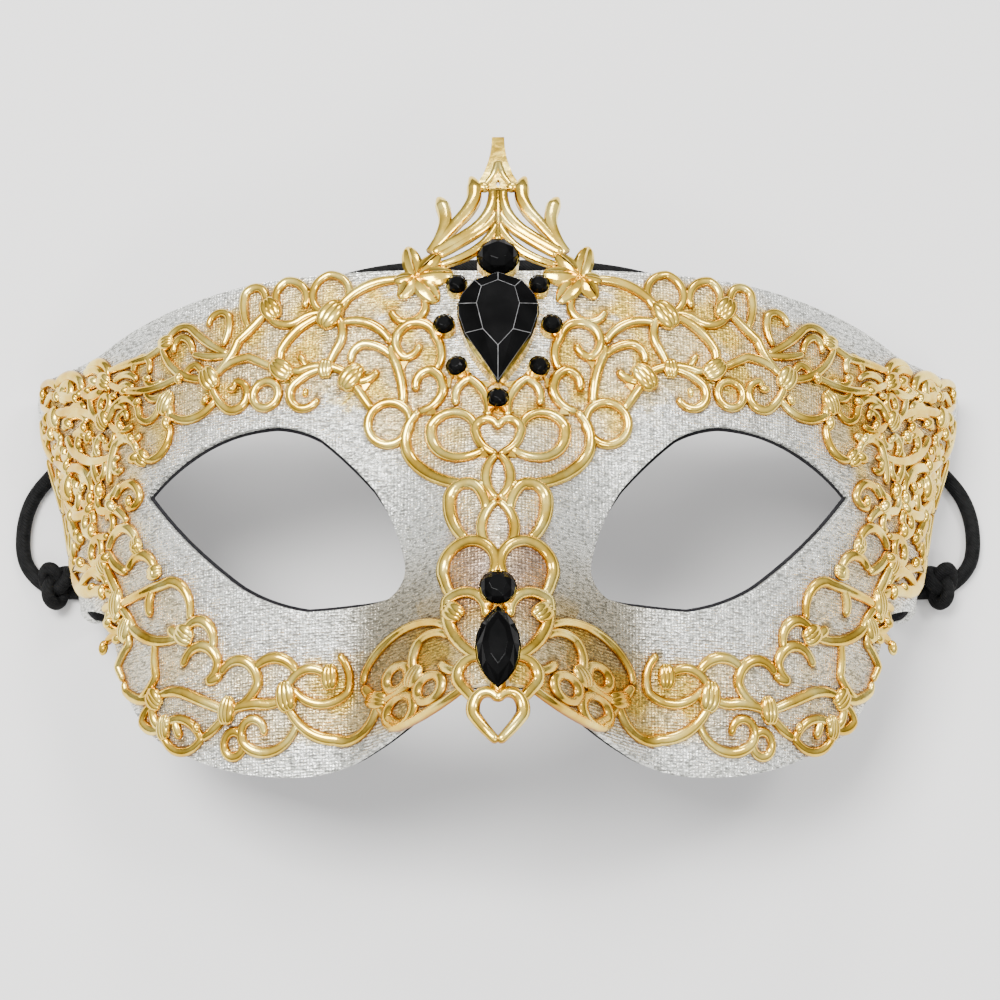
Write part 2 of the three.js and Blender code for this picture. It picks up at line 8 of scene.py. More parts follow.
# %% Load the frame
import math

import bmesh
import bpy
import numpy as np
from mathutils import Matrix, Vector
from mathutils.kdtree import KDTree


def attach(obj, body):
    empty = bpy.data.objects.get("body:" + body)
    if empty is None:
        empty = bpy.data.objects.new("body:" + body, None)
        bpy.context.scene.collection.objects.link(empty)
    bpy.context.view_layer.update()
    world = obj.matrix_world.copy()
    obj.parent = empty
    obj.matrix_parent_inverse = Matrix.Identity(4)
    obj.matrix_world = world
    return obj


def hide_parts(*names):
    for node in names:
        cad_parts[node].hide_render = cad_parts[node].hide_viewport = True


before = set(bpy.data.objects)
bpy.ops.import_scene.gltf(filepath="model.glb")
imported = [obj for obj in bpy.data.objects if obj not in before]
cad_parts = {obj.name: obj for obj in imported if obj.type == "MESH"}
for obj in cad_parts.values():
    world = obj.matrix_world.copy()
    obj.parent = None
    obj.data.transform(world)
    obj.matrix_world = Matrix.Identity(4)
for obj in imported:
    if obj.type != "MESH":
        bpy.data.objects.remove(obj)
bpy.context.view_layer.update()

print("nodes:", len(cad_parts))

# %% [markdown]
# ## The camera
# The photograph looks down on the mask from the chin side, about 70 degrees above the
# table, from roughly 40 cm away. We place the camera on that line and aim it at the
# middle of the face. The lens follows from how large the mask stands in the picture.

# %% Camera
AIM = Vector((0.0, -0.0040, 0.0300))
VIEW_DISTANCE = 0.400
VIEW_ELEVATION = math.radians(70)
FOCAL_PIXELS = 2222
camera_data = bpy.data.cameras.new("camera")
camera_data.sensor_width = 36
camera_data.lens = 36 * FOCAL_PIXELS / 1000
camera = bpy.data.objects.new("camera", camera_data)
bpy.context.scene.collection.objects.link(camera)
line_of_sight = Vector((0, -math.cos(VIEW_ELEVATION), math.sin(VIEW_ELEVATION)))
camera.location = AIM + line_of_sight * VIEW_DISTANCE
camera.rotation_euler = (math.pi / 2 - VIEW_ELEVATION, 0, 0)
camera_data.clip_start = 0.01
camera_data.shift_x = 0.002
bpy.context.scene.camera = camera
print("camera at", [round(x, 3) for x in camera.location])

# %% [markdown]
# ## The face surface
# Shell, lining, scrollwork and stones all follow one surface: a wide front arc that runs
# into a tighter arc at each temple, falls away to the cheeks and the brow, and swells into
# a nose ridge. A place on it is (u, v): u is the run round the face from its middle line,
# v the height up the face, in millimetres. Every piece is drawn flat in u and v and then
# bent onto the face.

# %% The surface in millimetres
FRONT_RADIUS, TEMPLE_RADIUS, FRONT_TURN = 132, 73, math.radians(17.6)
BROW_HEIGHT, TEMPLE_RUN, CHIN_TAPER, TAPER_FROM = 58.5, 115, 0.0015, 28
SIDE_LEAN, LEAN_U, LEAN_V = 11.3, (88, 124), (12, -16)
SIDE_FLARE, FLARE_U, FLARE_V = 2.2, (84, 104), (0, 24)
LEVEL_V, CHEEK_RADIUS, BROW_RADIUS = 18, 150, 110
NOSE_RISE, NOSE_V, NOSE_HALF = 22, (24, -43), (14, 27)
TO_ORIGIN = np.array((0, -2.0090, -0.0361))


def temple_arc(run):
    """How far across and how far down the face has gone after this run from its middle."""
    front_run = FRONT_RADIUS * FRONT_TURN
    turn = np.where(run <= front_run, run / FRONT_RADIUS, FRONT_TURN + (run - front_run) / TEMPLE_RADIUS)
    radius = np.where(run <= front_run, FRONT_RADIUS, TEMPLE_RADIUS)
    more = FRONT_RADIUS - radius
    across = more * math.sin(FRONT_TURN) + radius * np.sin(turn)
    drop = more * (math.cos(FRONT_TURN) - 1) + radius * (np.cos(turn) - 1)
    return across, drop


def ease(value, start, end):
    way = np.clip((value - start) / (end - start), 0, 1)
    return way * way * (3 - 2 * way)


def face(u, v):
    u, v = np.asarray(u, float), np.asarray(v, float)
    side, run = np.sign(u), np.abs(u)
    across, drop = temple_arc(run)
    taper = 1 - CHIN_TAPER * (TAPER_FROM - v) * (run / TEMPLE_RUN) ** 2
    down = np.clip((LEAN_V[0] - v) / (LEAN_V[0] - LEAN_V[1]), 0, 1.2)
    flare = SIDE_FLARE * ease(run, *FLARE_U) * (0.5 + 0.5 * ease(v, *FLARE_V))
    lean = SIDE_LEAN * ease(run, *LEAN_U) * down - flare
    fall = (v - LEVEL_V) ** 2 / (2 * np.where(v < LEVEL_V, CHEEK_RADIUS, BROW_RADIUS))
    nose = np.maximum(0, (NOSE_V[0] - v) / (NOSE_V[0] - NOSE_V[1]))
    half = NOSE_HALF[0] + (NOSE_HALF[1] - NOSE_HALF[0]) * np.minimum(nose, 1.15)
    bump = NOSE_RISE * nose ** 1.6 * (1 + np.cos(np.pi * np.minimum(1, run / half))) / 2
    return np.stack([side * (across * taper - lean), v, BROW_HEIGHT + drop - fall + bump], -1)


def face_normal(u, v, step=0.05):
    along_u = face(u + step, v) - face(u - step, v)
    along_v = face(u, v + step) - face(u, v - step)
    normal = np.cross(along_u, along_v)
    return normal / np.linalg.norm(normal, axis=-1, keepdims=True)


def on_face(flat):
    """Flat points (u, v, height above the cloth) in mm, as points on the mask in metres."""
    flat = np.asarray(flat, float)
    u, v, height = flat[..., 0], flat[..., 1], flat[..., 2:3]
    return (face(u, v) + face_normal(u, v) * height + TO_ORIGIN) * 0.001


print("middle of the face:", np.round(on_face([0, 0, 0]), 4))

# %% [markdown]
# ## Drawing on the face
# Every outline and every scroll is a chain of circular arcs, as one would set it out with
# compasses: a starting place, then for each arc its end and how many degrees it turns.

# %% Chains of arcs
def arc_places(a, b, turn, count):
    a, b = Vector(a[:2]), Vector(b[:2])
    steps = np.linspace(0, 1, count + 1)
    if abs(turn) < 1:
        return [tuple(a.lerp(b, t)) for t in steps]
    half = math.radians(turn) / 2
    chord = b - a
    radius = chord.length / (2 * math.sin(half))
    left = Vector((-chord.y, chord.x)).normalized()
    centre = (a + b) / 2 + left * radius * math.cos(half)
    start = math.atan2(a.y - centre.y, a.x - centre.x)
    return [(centre.x + abs(radius) * math.cos(start + 2 * half * t),
             centre.y + abs(radius) * math.sin(start + 2 * half * t)) for t in steps]


def chain_places(chain):
    """The chain as many close places, and the run along it to each of them."""
    places = [tuple(chain[0][:2])]
    for before, (u, v, turn) in zip(chain, chain[1:]):
        places += arc_places(before, (u, v), turn, 24)[1:]
    places = np.array(places)
    run = np.concatenate([[0], np.cumsum(np.linalg.norm(np.diff(places, axis=0), axis=1))])
    return places, run


def along_chain(chain, stations):
    """The places at these runs along the chain."""
    places, run = chain_places(chain)
    return np.stack([np.interp(stations, run, places[:, k]) for k in (0, 1)], -1)


def even_places(chain, steps):
    return along_chain(chain, np.linspace(0, chain_places(chain)[1][-1], steps + 1))


print("a quarter circle of radius 10 runs", round(chain_places([(10, 0), (0, 10, 90)])[1][-1], 2), "mm")

# %% [markdown]
# ## From a flat mesh to a piece of the mask
# Each piece is made flat with bmesh operators, in millimetres. Helpers mirror it over the
# middle line, bend it onto the face and hand it to the frame: it rides on the mask's body
# and takes the place of its plain CAD solid.

# %% Shared helpers
def mirror_over_middle(bm, merge=0.0005):
    bmesh.ops.mirror(bm, geom=bm.verts[:] + bm.edges[:] + bm.faces[:], axis="X", merge_dist=merge)
    bmesh.ops.recalc_face_normals(bm, faces=bm.faces)


def bend_onto_face(mesh):
    flat = np.empty(len(mesh.vertices) * 3)
    mesh.vertices.foreach_get("co", flat)
    mesh.vertices.foreach_set("co", on_face(flat.reshape(-1, 3)).ravel())
    mesh.update()


def as_mesh(bm, name):
    mesh = bpy.data.meshes.new(name)
    bm.to_mesh(mesh)
    bm.free()
    return mesh


def new_curve(name, dimensions="3D"):
    curve = bpy.data.curves.new(name, "CURVE")
    curve.dimensions = dimensions
    return curve


def add_line(curve, places, closed=False):
    line = curve.splines.new("POLY")
    line.points.add(len(places) - 1)
    line.use_cyclic_u = closed
    for point, place in zip(line.points, places):
        point.co = (*place, 1)
    return line


def raise_face(bm, face, up):
    """Draws a face up out of a mesh and gives back its new top."""
    new = bmesh.ops.extrude_face_region(bm, geom=[face])["geom"]
    bmesh.ops.translate(bm, verts=[g for g in new if isinstance(g, bmesh.types.BMVert)], vec=(0, 0, up))
    return [g for g in new if isinstance(g, bmesh.types.BMFace)][0]


def note(mesh, name, values):
    """Notes a number at each place of the mesh, for its finish to read."""
    mesh.attributes.new(name, "FLOAT", "POINT").data.foreach_set("value", values.astype(np.float32))


def soft_patch(flat, middle, reach):
    """1 inside a patch on each half, and 0 beyond its soft edge. In mm."""
    away = (np.abs(flat[:, 0]) - middle[0]) / reach[0], (flat[:, 1] - middle[1]) / reach[1]
    return np.exp(-(away[0] ** 4 + away[1] ** 4))


def both_sides(half):
    """Half an outline up to its middle line, and its mirror image back from there."""
    return half + [(-x, y) for x, y in half[-2::-1]]


def shown(name, data):
    piece = bpy.data.objects.new(name, data)
    bpy.context.scene.collection.objects.link(piece)
    return piece


def as_piece(bm, name):
    return shown(name, as_mesh(bm, name))


def as_plain_mesh(piece):
    """The piece with its curve or its modifiers turned into a plain mesh."""
    bpy.context.view_layer.update()
    evaluated = piece.evaluated_get(bpy.context.evaluated_depsgraph_get())
    mesh = bpy.data.meshes.new_from_object(evaluated)
    name = piece.name
    bpy.data.objects.remove(piece)
    return shown(name, mesh)


def finish_piece(piece, material, slot, *nodes):
    piece.data.materials.append(material)
    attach(piece, "root")
    if nodes:
        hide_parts(*nodes)
    if piece.type == "MESH":
        piece.data.calc_loop_triangles()
        print(f"{piece.name}: {len(piece.data.loop_triangles)} triangles")
    return piece


def smooth(mesh, angle=None):
    mesh.shade_smooth()
    if angle is not None:
        mesh.set_sharp_from_angle(angle=math.radians(angle))


# %% [markdown]
# ## Finishes
# A finish is a small node tree around the Principled shader. Helpers add the nodes, so that
# each finish below reads as a list of what it is made of.

# %% Node helpers
def new_finish(name):
    material = bpy.data.materials.new(name)
    material.use_nodes = True
    tree = material.node_tree
    return material, tree, tree.nodes["Principled BSDF"]


def plug(tree, made, **inputs):
    """Links or sets a node's inputs. They go by name, or as i0, i1 and so on by their place."""
    for key, value in inputs.items():
        socket = made.inputs[int(key[1:])] if key[1:].isdigit() else made.inputs[key.replace("_", " ")]
        if isinstance(value, bpy.types.NodeSocket):
            tree.links.new(value, socket)
        else:
            socket.default_value = value
    return made


def node(tree, kind, settings=None, **inputs):
    made = tree.nodes.new("ShaderNode" + kind)
    for key, value in (settings or {}).items():
        setattr(made, key, value)
    return plug(tree, made, **inputs)


def ramp(tree, factor, *stops):
    made = node(tree, "ValToRGB", Fac=factor)
    elements = made.color_ramp.elements
    while len(elements) < len(stops):
        elements.new(0.5)
    for element, (at, colour) in zip(elements, stops):
        element.position = at
        element.color = (*colour, 1)
    return made.outputs["Color"]


def grey(value):
    return value, value, value


def place_on(tree):
    return node(tree, "TexCoord").outputs["Object"]


def noted(tree, name):
    """What the mesh notes at each place under this name."""
    return node(tree, "Attribute", {"attribute_name": name}).outputs["Fac"]


def noise(tree, where, scale, detail=2.0, roughness=0.5):
    return node(tree, "TexNoise", Vector=where, Scale=scale, Detail=detail, Roughness=roughness).outputs["Fac"]


def waves(tree, where, way, scale, **more):
    return node(tree, "TexWave", {"bands_direction": way}, Vector=where, Scale=scale, **more).outputs["Fac"]


def times_plus(tree, value, factor, more):
    return node(tree, "Math", {"operation": "MULTIPLY_ADD"}, i0=value, i1=factor, i2=more).outputs["Value"]


def mapped(tree, value, low, high, to_low, to_high):
    return node(tree, "MapRange", Value=value, i1=low, i2=high, i3=to_low, i4=to_high).outputs["Result"]


def tinted(tree, amount, colour, tint):
    return node(tree, "Mix", {"data_type": "RGBA", "blend_type": "MULTIPLY"}, i0=amount, i6=colour,
                i7=tint).outputs[2]


def bumps(tree, height, strength, distance):
    return node(tree, "Bump", Height=height, Strength=strength, Distance=distance).outputs["Normal"]


print("node helpers ready")

# %% [markdown]
# ## Black elastic
# A round braided elastic, 2.8 mm thick, holds the mask on. From inside each temple it comes
# down to the table, passes under the arch of the side edge, loops back beside the mask and
# runs round behind the brow. It is a real length of cord, so its route comes first: it
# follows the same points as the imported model.

# %% The elastic's route
CORD_DIAMETER = 0.0028
CORD_HALF = [
    (0, 58.4, 1.5), (29, 55.8, 1.5), (56, 42, 1.5), (75, 27, 1.5), (85, 15.5, 1.5), (90, 8.5, 1.5),
    (91.4, 1.5, 1.5), (90.2, -5, 1.5), (85.2, -9.6, 1.5), (77.5, -10.4, 1.8), (72, -10.2, 3.9),
    (69.6, -9.6, 8.5), (70.6, -8.8, 13.6)]


def smooth_route(points, per_span=12):
    """A smooth line through the points, timed by the root of their distances."""
    points = [Vector(p) for p in points]
    points = [points[0] * 2 - points[1], *points, points[-1] * 2 - points[-2]]
    route = []
    for a, b, c, d in zip(points, points[1:], points[2:], points[3:]):
        k1 = (b - a).length ** 0.5
        k2 = k1 + (c - b).length ** 0.5
        k3 = k2 + (d - c).length ** 0.5
        for step in range(per_span):
            k = k1 + (k2 - k1) * step / per_span
            ab, bc, cd = a.lerp(b, k / k1), b.lerp(c, (k - k1) / (k2 - k1)), c.lerp(d, (k - k2) / (k3 - k2))
            abc, bcd = ab.lerp(bc, k / k2), bc.lerp(cd, (k - k1) / (k3 - k1))
            route.append(abc.lerp(bcd, (k - k1) / (k2 - k1)))
    return [*route, points[-2]]


cord_points = [(-x, y, z) for x, y, z in CORD_HALF[:0:-1]] + CORD_HALF
cord_route = [(p + Vector(TO_ORIGIN)) * 0.001 for p in smooth_route(cord_points)]

cord_curve = new_curve("elastic")
cord_curve.bevel_depth = CORD_DIAMETER / 2
cord_curve.bevel_resolution = 5
cord_curve.use_fill_caps = True
add_line(cord_curve, cord_route)
elastic = shown("elastic", cord_curve)

# %% [markdown]
# Beside each temple the elastic is tied with an overhand knot, which takes up its length.
# The line of such a knot is the trefoil: it goes round twice while it swings in and out
# three times.

# %% The knots
KNOT_REACH, KNOT_PLACES = Vector((0.00085, 0.0013, 0.0013)), 72


def overhand_knot(name, centre, side):
    curve = new_curve(name)
    curve.bevel_depth, curve.bevel_resolution = CORD_DIAMETER * 0.45, 4
    line = []
    for a in np.linspace(0, math.tau, KNOT_PLACES + 1)[:-1]:
        x, y = math.sin(a) + 2 * math.sin(2 * a), math.cos(a) - 2 * math.cos(2 * a)
        line.append(centre + KNOT_REACH * Vector((side * x, y, -math.sin(3 * a))))
    add_line(curve, line, closed=True)
    return as_plain_mesh(shown(name, curve))


tie = (Vector((84.0, -9.4, 3.9)) + Vector(TO_ORIGIN)) * 0.001
elastic_knots = [overhand_knot("elastic_knot_right", tie, 1),
                 overhand_knot("elastic_knot_left", Vector((-tie.x, tie.y, tie.z)), -1)]
print("knots tied at", [round(x, 4) for x in tie])

# %% [markdown]
# The braid is a fine slant of black threads. It is drawn with slanting waves in the bump
# and a fine noise in the colour, and left matt.

# %% Elastic finish
elastic_finish, tree, shader = new_finish("braided_elastic")
where = place_on(tree)
plug(tree, shader, Base_Color=ramp(tree, noise(tree, where, 900.0), (0.3, grey(0.002)), (0.75, grey(0.008))),
     Roughness=0.72, IOR=1.2, Normal=bumps(tree, waves(tree, where, "DIAGONAL", 900.0), 0.5, 0.0002))
finish_piece(elastic, elastic_finish, "black_elastic", "elastic_cord")
for tied in elastic_knots:
    smooth(tied.data)
    finish_piece(tied, elastic_finish, "black_elastic")

# %% [markdown]
# ## Setting out the scrollwork
# The scrollwork is one casting of about 150 wires on each side. Each wire is a chain of
# arcs on the face. A third number at its starting place is its width, in parts of the
# usual one. Only the right half is written down. The left half is its mirror image.

# %% Wires of the right half
DRAWN_WIRES = [
    # the centre plate and the nose
    [(13.1, 25.2), (18.5, 23, 210)], [(16.5, 28.7, 1.1), (27.6, 24.2, -60)],
    [(13.5, 16.4, 1.1), (15.9, 13.8, 90), (10.6, 17.3, 230), (10.7, 10.8, 70)],
    [(13.7, 7.5, 1.1), (11.4, 11.2, 120), (13.6, 3.9, 160)],
    [(13.2, 3.9, 1.2), (14.4, -4.7, -90), (1.7, -11.6, -50)], [(27.5, 21.1, 1.1), (18.3, 16.5, 80)],
    [(18.3, 16.5, 1.1), (18.3, 14.7, -20), (16.2, 5.2, 30)],
    [(25.2, 13.3), (22.8, 16.8, 110), (17.8, 13.6, 50)], [(6.8, 4), (4.8, 8.9, 100), (1.8, 1.1, 70)],
    [(3.7, -1.4, 1.1), (11.2, 0.9, -150), (2, -4.6, -140)], [(0, -1.1), (3.6, -1.8, -210), (0, -5.9, -60)],
    [(0, -5.7), (0, -14.3, -100)], [(0, -14.5), (1.1, -23.4, -100)],
    [(1.9, -16.6, 1.2), (3.3, -11.8, -40), (7.9, -12.9, -130), (4.8, -21.5, -50)],
    [(1.2, -28.3, 1.15), (8.6, -27.5, -240), (7.3, -30.7, -20)],
    [(2, -35.4, 1.15), (8, -31.1, -140), (2.3, -42.3, -70)],
    [(2.3, -42.3, 1.05), (5.7, -46.3, -160), (3.1, -49.8, 0)],
    [(0, -49.7, 1.05), (3.5, -49, -150), (3.7, -51.6, -50), (0, -56.3, -12)],
    # the brow
    [(29.5, 23), (29.7, 30.9, -170), (29.5, 23, -150)], [(38.7, 25.7), (37.5, 30.5, 110), (34.2, 24.7, 120)],
    [(44.2, 21.8), (45.4, 28.9, 40), (41.6, 28.7, 140), (40.7, 25.2, 10)],
    [(41, 24.9), (35, 22.3, -100), (29.5, 23, 60)], [(40.7, 25.2, 1.1), (46.4, 20, 10), (51, 14.4, 40)],
    [(29.9, 23.1, 1.1), (38.2, 16.9, -50), (38.3, 13.4, -10)],
    [(28.7, 23.2), (27.4, 17.2, 70), (29.6, 12.8, -10)], [(38.3, 13.4), (34.6, 12.8, 0), (25.2, 11.1, 60)],
    [(34.9, 16.1, 0.8), (33.1, 13.2, 0)], [(29.6, 12.8), (34.9, 11, -40), (31.1, 7.7, -220)],
    [(25.8, 10.4), (20.5, 11.9, -90)], [(25.5, 10.8), (21.4, 4.6, 0)], [(25.2, 11.1), (27.2, 8.8, 0)],
    [(52, 14), (48.6, 7.9, -40), (46.5, 12.5, -210), (47.1, 11.1, -30)],
    [(51.9, 13.6), (44.1, 16.6, 50), (38.3, 13.4, 0)], [(52.6, 24, 0.9), (48.5, 25.2, 160), (49.6, 19.6, 50)],
    [(62, 23), (55.7, 23.8, 120), (48.1, 17.9, -20)], [(60, 20.5, 0.9), (58.3, 23.2, 120), (56, 19.5, 80)],
    [(57.5, 15.4, 0.9), (54.8, 17, 100), (52.4, 14, 10)], [(62.4, 11.4), (50.5, 10.1, -120)],
    [(63.1, 22.5), (52, 14, -70)], [(56, 19.5, 0.9), (47.5, 17.8, -30)],
    # the temple
    [(106.2, 25.3), (104, 28.5, -60), (96.2, 25.1, 40)], [(97.1, 25.9), (88.1, 23.3, 70), (87.7, 21.1, 40)],
    [(85.7, 24.6), (78, 22, 90), (79.3, 20.4, 40)], [(78, 22), (66.6, 21.3, 0), (62, 23, -10)],
    [(70.5, 19.5, 0.9), (66.5, 18.1, 220)], [(79.3, 20.4), (76, 18.4, 0), (58.1, 15.9, -50)],
    [(84.4, 19.2), (78.2, 12.3, -90), (76.6, 13.7, -40), (68.6, 10.8, 130), (63.5, 11, -140), (61.6, 11.6, 20)],
    [(95.4, 14.2), (99.9, 18.2, 10), (97.6, 19.8, 100), (82.3, 14, 30)],
    [(93.1, 14.2), (88.3, 8.5, -50), (76.3, 5.4, -40)], [(77.5, 0.2, 1.1), (75.2, 7.1, 40), (69, 4, 100)],
    [(61, 7.6), (67.7, 2.8, 150)], [(61.6, 11.6), (61, 7.6, 70)],
    [(87.7, 21.1), (80.7, 18.9, -50), (79.3, 20.4, -40)], [(106.2, 25.3), (97.6, 19.8, 0)],
    [(96.2, 25.1), (87.7, 21.1, -70)], [(106.8, 22.5, 1.1), (99.9, 11.4, -40)],
    [(99.9, 11.4), (94.7, 8.1, 10), (93.9, 4, 100)], [(83.2, 6.1), (80.3, 0.8, -40)],
    # the cheek
    [(75.6, -3), (68.2, -4.4, 140), (72.2, -5.1, 80)], [(80.3, 0.8), (80.4, -3.8, -120), (73.7, -4.9, -20)],
    [(93.9, 4), (96.7, 2.6, -40), (94.4, -0.4, -50), (81.7, -1.7, -50)],
    [(85.3, -2.5), (86.3, -6.2, -140), (78.1, -8.8, -30)], [(78.2, -11.6, 1.1), (69.1, -12.6, 150)],
    [(72.1, -16.4, 1.1), (64.3, -18.1, 140)], [(78.2, -11.6, 1.1), (72.1, -16.4, -50)],
    [(80.1, -12.9, 1.2), (75.1, -19.6, 0), (75.5, -21.7, 60)], [(94, -0.6, 1.2), (88.3, -7.1, -50)],
    [(93.1, -9.2, 1.1), (96.2, -10.9, -40), (86.3, -16.7, -40), (75, -20.5, 20)],
    [(75.5, -21.7, 1.1), (60.6, -20.3, 0), (56.1, -27.5, 100)], [(64.6, -20.7, 1.1), (65.5, -25.4, -80)],
    [(75.5, -21.7, 1.1), (70.7, -26.5, 40), (57.6, -29.7, -50)], [(57.6, -29.7, 1.1), (51.2, -32.9, 180)],
    [(61.2, -27.9, 1.1), (57.6, -29.7, -30)], [(57.8, -34.9, 1.1), (49.9, -35, 150), (52.7, -37.8, 70)],
    [(52.7, -37.8), (49.1, -36.9, -40)], [(64.5, -29.6), (64.5, -35.3, -30), (69.8, -38.4, 40)],
    [(78.3, -21.6), (79.3, -23.8, -40), (72.8, -26.1, -60)],
    [(72.8, -26.1), (72, -28.8, 30), (76.2, -31.8, -20), (74.3, -34.5, -20)],
    [(74.3, -34.5), (73.8, -36.4, -30), (65, -38.9, -40)],
    [(65, -38.9, 1.1), (57, -39.3, 40), (48, -43.1, 0)],
    [(49.5, -37.1, 1.1), (41.9, -39.1, 150), (47.6, -42.9, 60)], [(42.6, -36.8, 1.1), (34.5, -38.1, 110)],
    [(47.6, -42.9, 1.1), (41.6, -42.3, 20), (36.9, -41.8, -40)],
    [(40.9, -47.5), (44.4, -48.8, -250), (34.6, -45.7, -110)], [(48, -43.1), (53.9, -46.8, 30)],
    [(53.9, -46.8), (63.2, -45, 110), (61.8, -43.2, 50), (53.9, -46.8, 80)],
    [(65, -38.9), (62.5, -43.8, -140)], [(60.2, -43), (58.7, -46.3, 0)],
    [(65.6, -40), (68.9, -42.2, -80), (63.3, -43.8, -70)],
    # beside the nose
    [(36.5, -41.4, 0.95), (28.8, -39.2, 140)],
    [(36.5, -41.4, 0.95), (35, -40.8, 40), (25.4, -41.5, -90), (27.2, -35.5, -70)],
    [(36.9, -41.8, 1.05), (27.7, -48.8, -70), (20.1, -44.1, -110)],
    [(7.5, -36.3, 0.88), (15.5, -33.6, -60), (22.4, -39, -50), (22.7, -40.8, -10)],
    [(7.6, -37.6, 0.9), (12.6, -36.4, -80), (13.4, -42.2, -70)], [(13.4, -42.2, 0.95), (20.1, -43.8, 60)],
    [(22.7, -40.8, 0.95), (20.1, -43.8, -30)], [(20.1, -44.1, 0.9), (15.6, -49.4, -40), (5.2, -46.6, -30)],
    [(9.1, -41.2, 0.88), (6.1, -43.6, -70)],
    # the side
    [(78.8, 13.4, 0.9), (72.2, 13, 80)], [(76.3, 19.2, 0.9), (69.3, 17.7, 80)],
    [(67.2, 18.1, 0.9), (62.6, 16.2, -130)], [(94.7, 15.8, 0.9), (85.6, 14.3, 100)],
    [(90.9, 13.3, 0.8), (84.8, 11.3, 80)], [(97.9, 7.4), (84.6, 2.6, 70), (88, 0.2, 200)],
    [(88.2, 5.9, 0.9), (83.3, 4.8, -150)], [(97, 3.4, 0.9), (87.8, -2.4, -40)],
    [(80.5, -4.4), (71.9, -7.9, 70)], [(90, -15.2), (78.8, -17.5, 100)],
    [(81.1, -21.2, 0.9), (74.2, -22.9, 60)], [(80.9, -23.9, 0.9), (73.7, -25.7, 90)],
    [(80.4, -27.1, 0.9), (73.9, -27.7, 70)], [(74.9, 9.6, 1.1), (67.9, 7, -70)],
    [(86.7, 24.3), (79, 20.2, 80)], [(85.6, 20.6), (77.6, 18, 80)], [(77.5, 11.8, 0.9), (70.2, 9.4, -70)],
    [(75.7, 16.7, 0.9), (70.3, 16.3, 100)], [(67.1, 15, 0.9), (62.5, 13.5, -110)],
    [(74.2, -0.2), (78.9, -1.9, 80)], [(96, -11, 0.9), (88, -12.2, 30), (81.5, -15.8, 20)],
    [(104, 14, 0.9), (101, 17.5, 70), (97, 17, 60)], [(103, 22, 0.9), (99.5, 24.6, 60), (97.5, 22.6, 90)],
    [(92.5, 17.5, 0.9), (89, 18.8, 60), (86.5, 17, 70)],
    [(103.8, 13.5), (101.6, 2.4, -20), (97.6, 4.6, -130)],
    [(101.6, 2.4), (99.3, -6.4, -15), (95.4, -3.2, -130)], [(99.3, -6.4), (96.2, -10.9, -20)]]
RINGS = [
    (18.5, 2.2, 3.7), (40.8, 9.3, 2.4), (82.7, -10.5, 2.1), (46.9, -48.3, 2.0), (11, -45.1, 2.1),
    (16.5, -41.4, 2.0), (16, -47, 2.4), (92.9, 23, 1.6), (78.9, 15.8, 1.6)]
WIRE_WIDTH, RING_WIDTH = 1.62, 1.05
all_wires = DRAWN_WIRES + [[(u + r, v, RING_WIDTH), (u - r, v, 180), (u + r, v, 180)] for u, v, r in RINGS]


def wire_width(chain):
    return chain[0][2] if len(chain[0]) > 2 else 1


def wire_length(chain):
    return chain_places(chain)[1][-1]


def near_wires(places, reach):
    """How far the nearest wire is, and on how many of eight sides there is wire in reach."""
    on_wires = np.concatenate([even_places(c, max(2, round(wire_length(c) / 0.5))) for c in all_wires])
    tree = KDTree(len(on_wires) * 2)
    for index, (u, v) in enumerate(on_wires):
        tree.insert((u, v, 0), index)
        tree.insert((-u, v, 0), index)
    tree.balance()
    nearest, sides = [], []
    for u, v in places:
        nearest.append(tree.find((u, v, 0))[2])
        around = [p for p, _, _ in tree.find_range((u, v, 0), reach)]
        sides.append(len({int(math.atan2(p.y - v, p.x - u) // (math.pi / 4)) for p in around}))
    return np.array(nearest), np.array(sides)


# %% [markdown]
# At the temples small curls fill the gaps. We try a loose grid of places, each with its own
# turn, and keep those that have room for a curl and wire on nearly every side.

# %% Small curls in the gaps
def curl(u, v, size, turn):
    swing = Matrix.Rotation(math.radians(turn), 2)
    a, b, c = (Vector((u, v)) + swing @ Vector(p) * size for p in ((-1, -1.1), (1.05, 0.2), (-0.35, 0.45)))
    return [(*a, 0.9), (*b, 140), (*c, 170)]


CURL_SIZE, CURL_ROOM, WIRE_ON_SIDES, REACH = 1.2, 1.5, 7, 5.5
gaps = [(u, v, 77 * row + 133 * column) for row, v in enumerate(np.arange(-7, 26.5, 2.6))
        for column, u in enumerate(np.arange(66 + 1.4 * (row % 2), 104, 2.9)) if u > 72 or v > 13]
to_wire, sides = near_wires([(u, v) for u, v, turn in gaps], REACH)
all_wires += [curl(u, v, CURL_SIZE, turn) for (u, v, turn), gap, around in zip(gaps, to_wire, sides)
              if gap > CURL_ROOM and around >= WIRE_ON_SIDES]
print(len(all_wires), "wires,", round(sum(wire_length(chain) for chain in all_wires)), "mm in all")
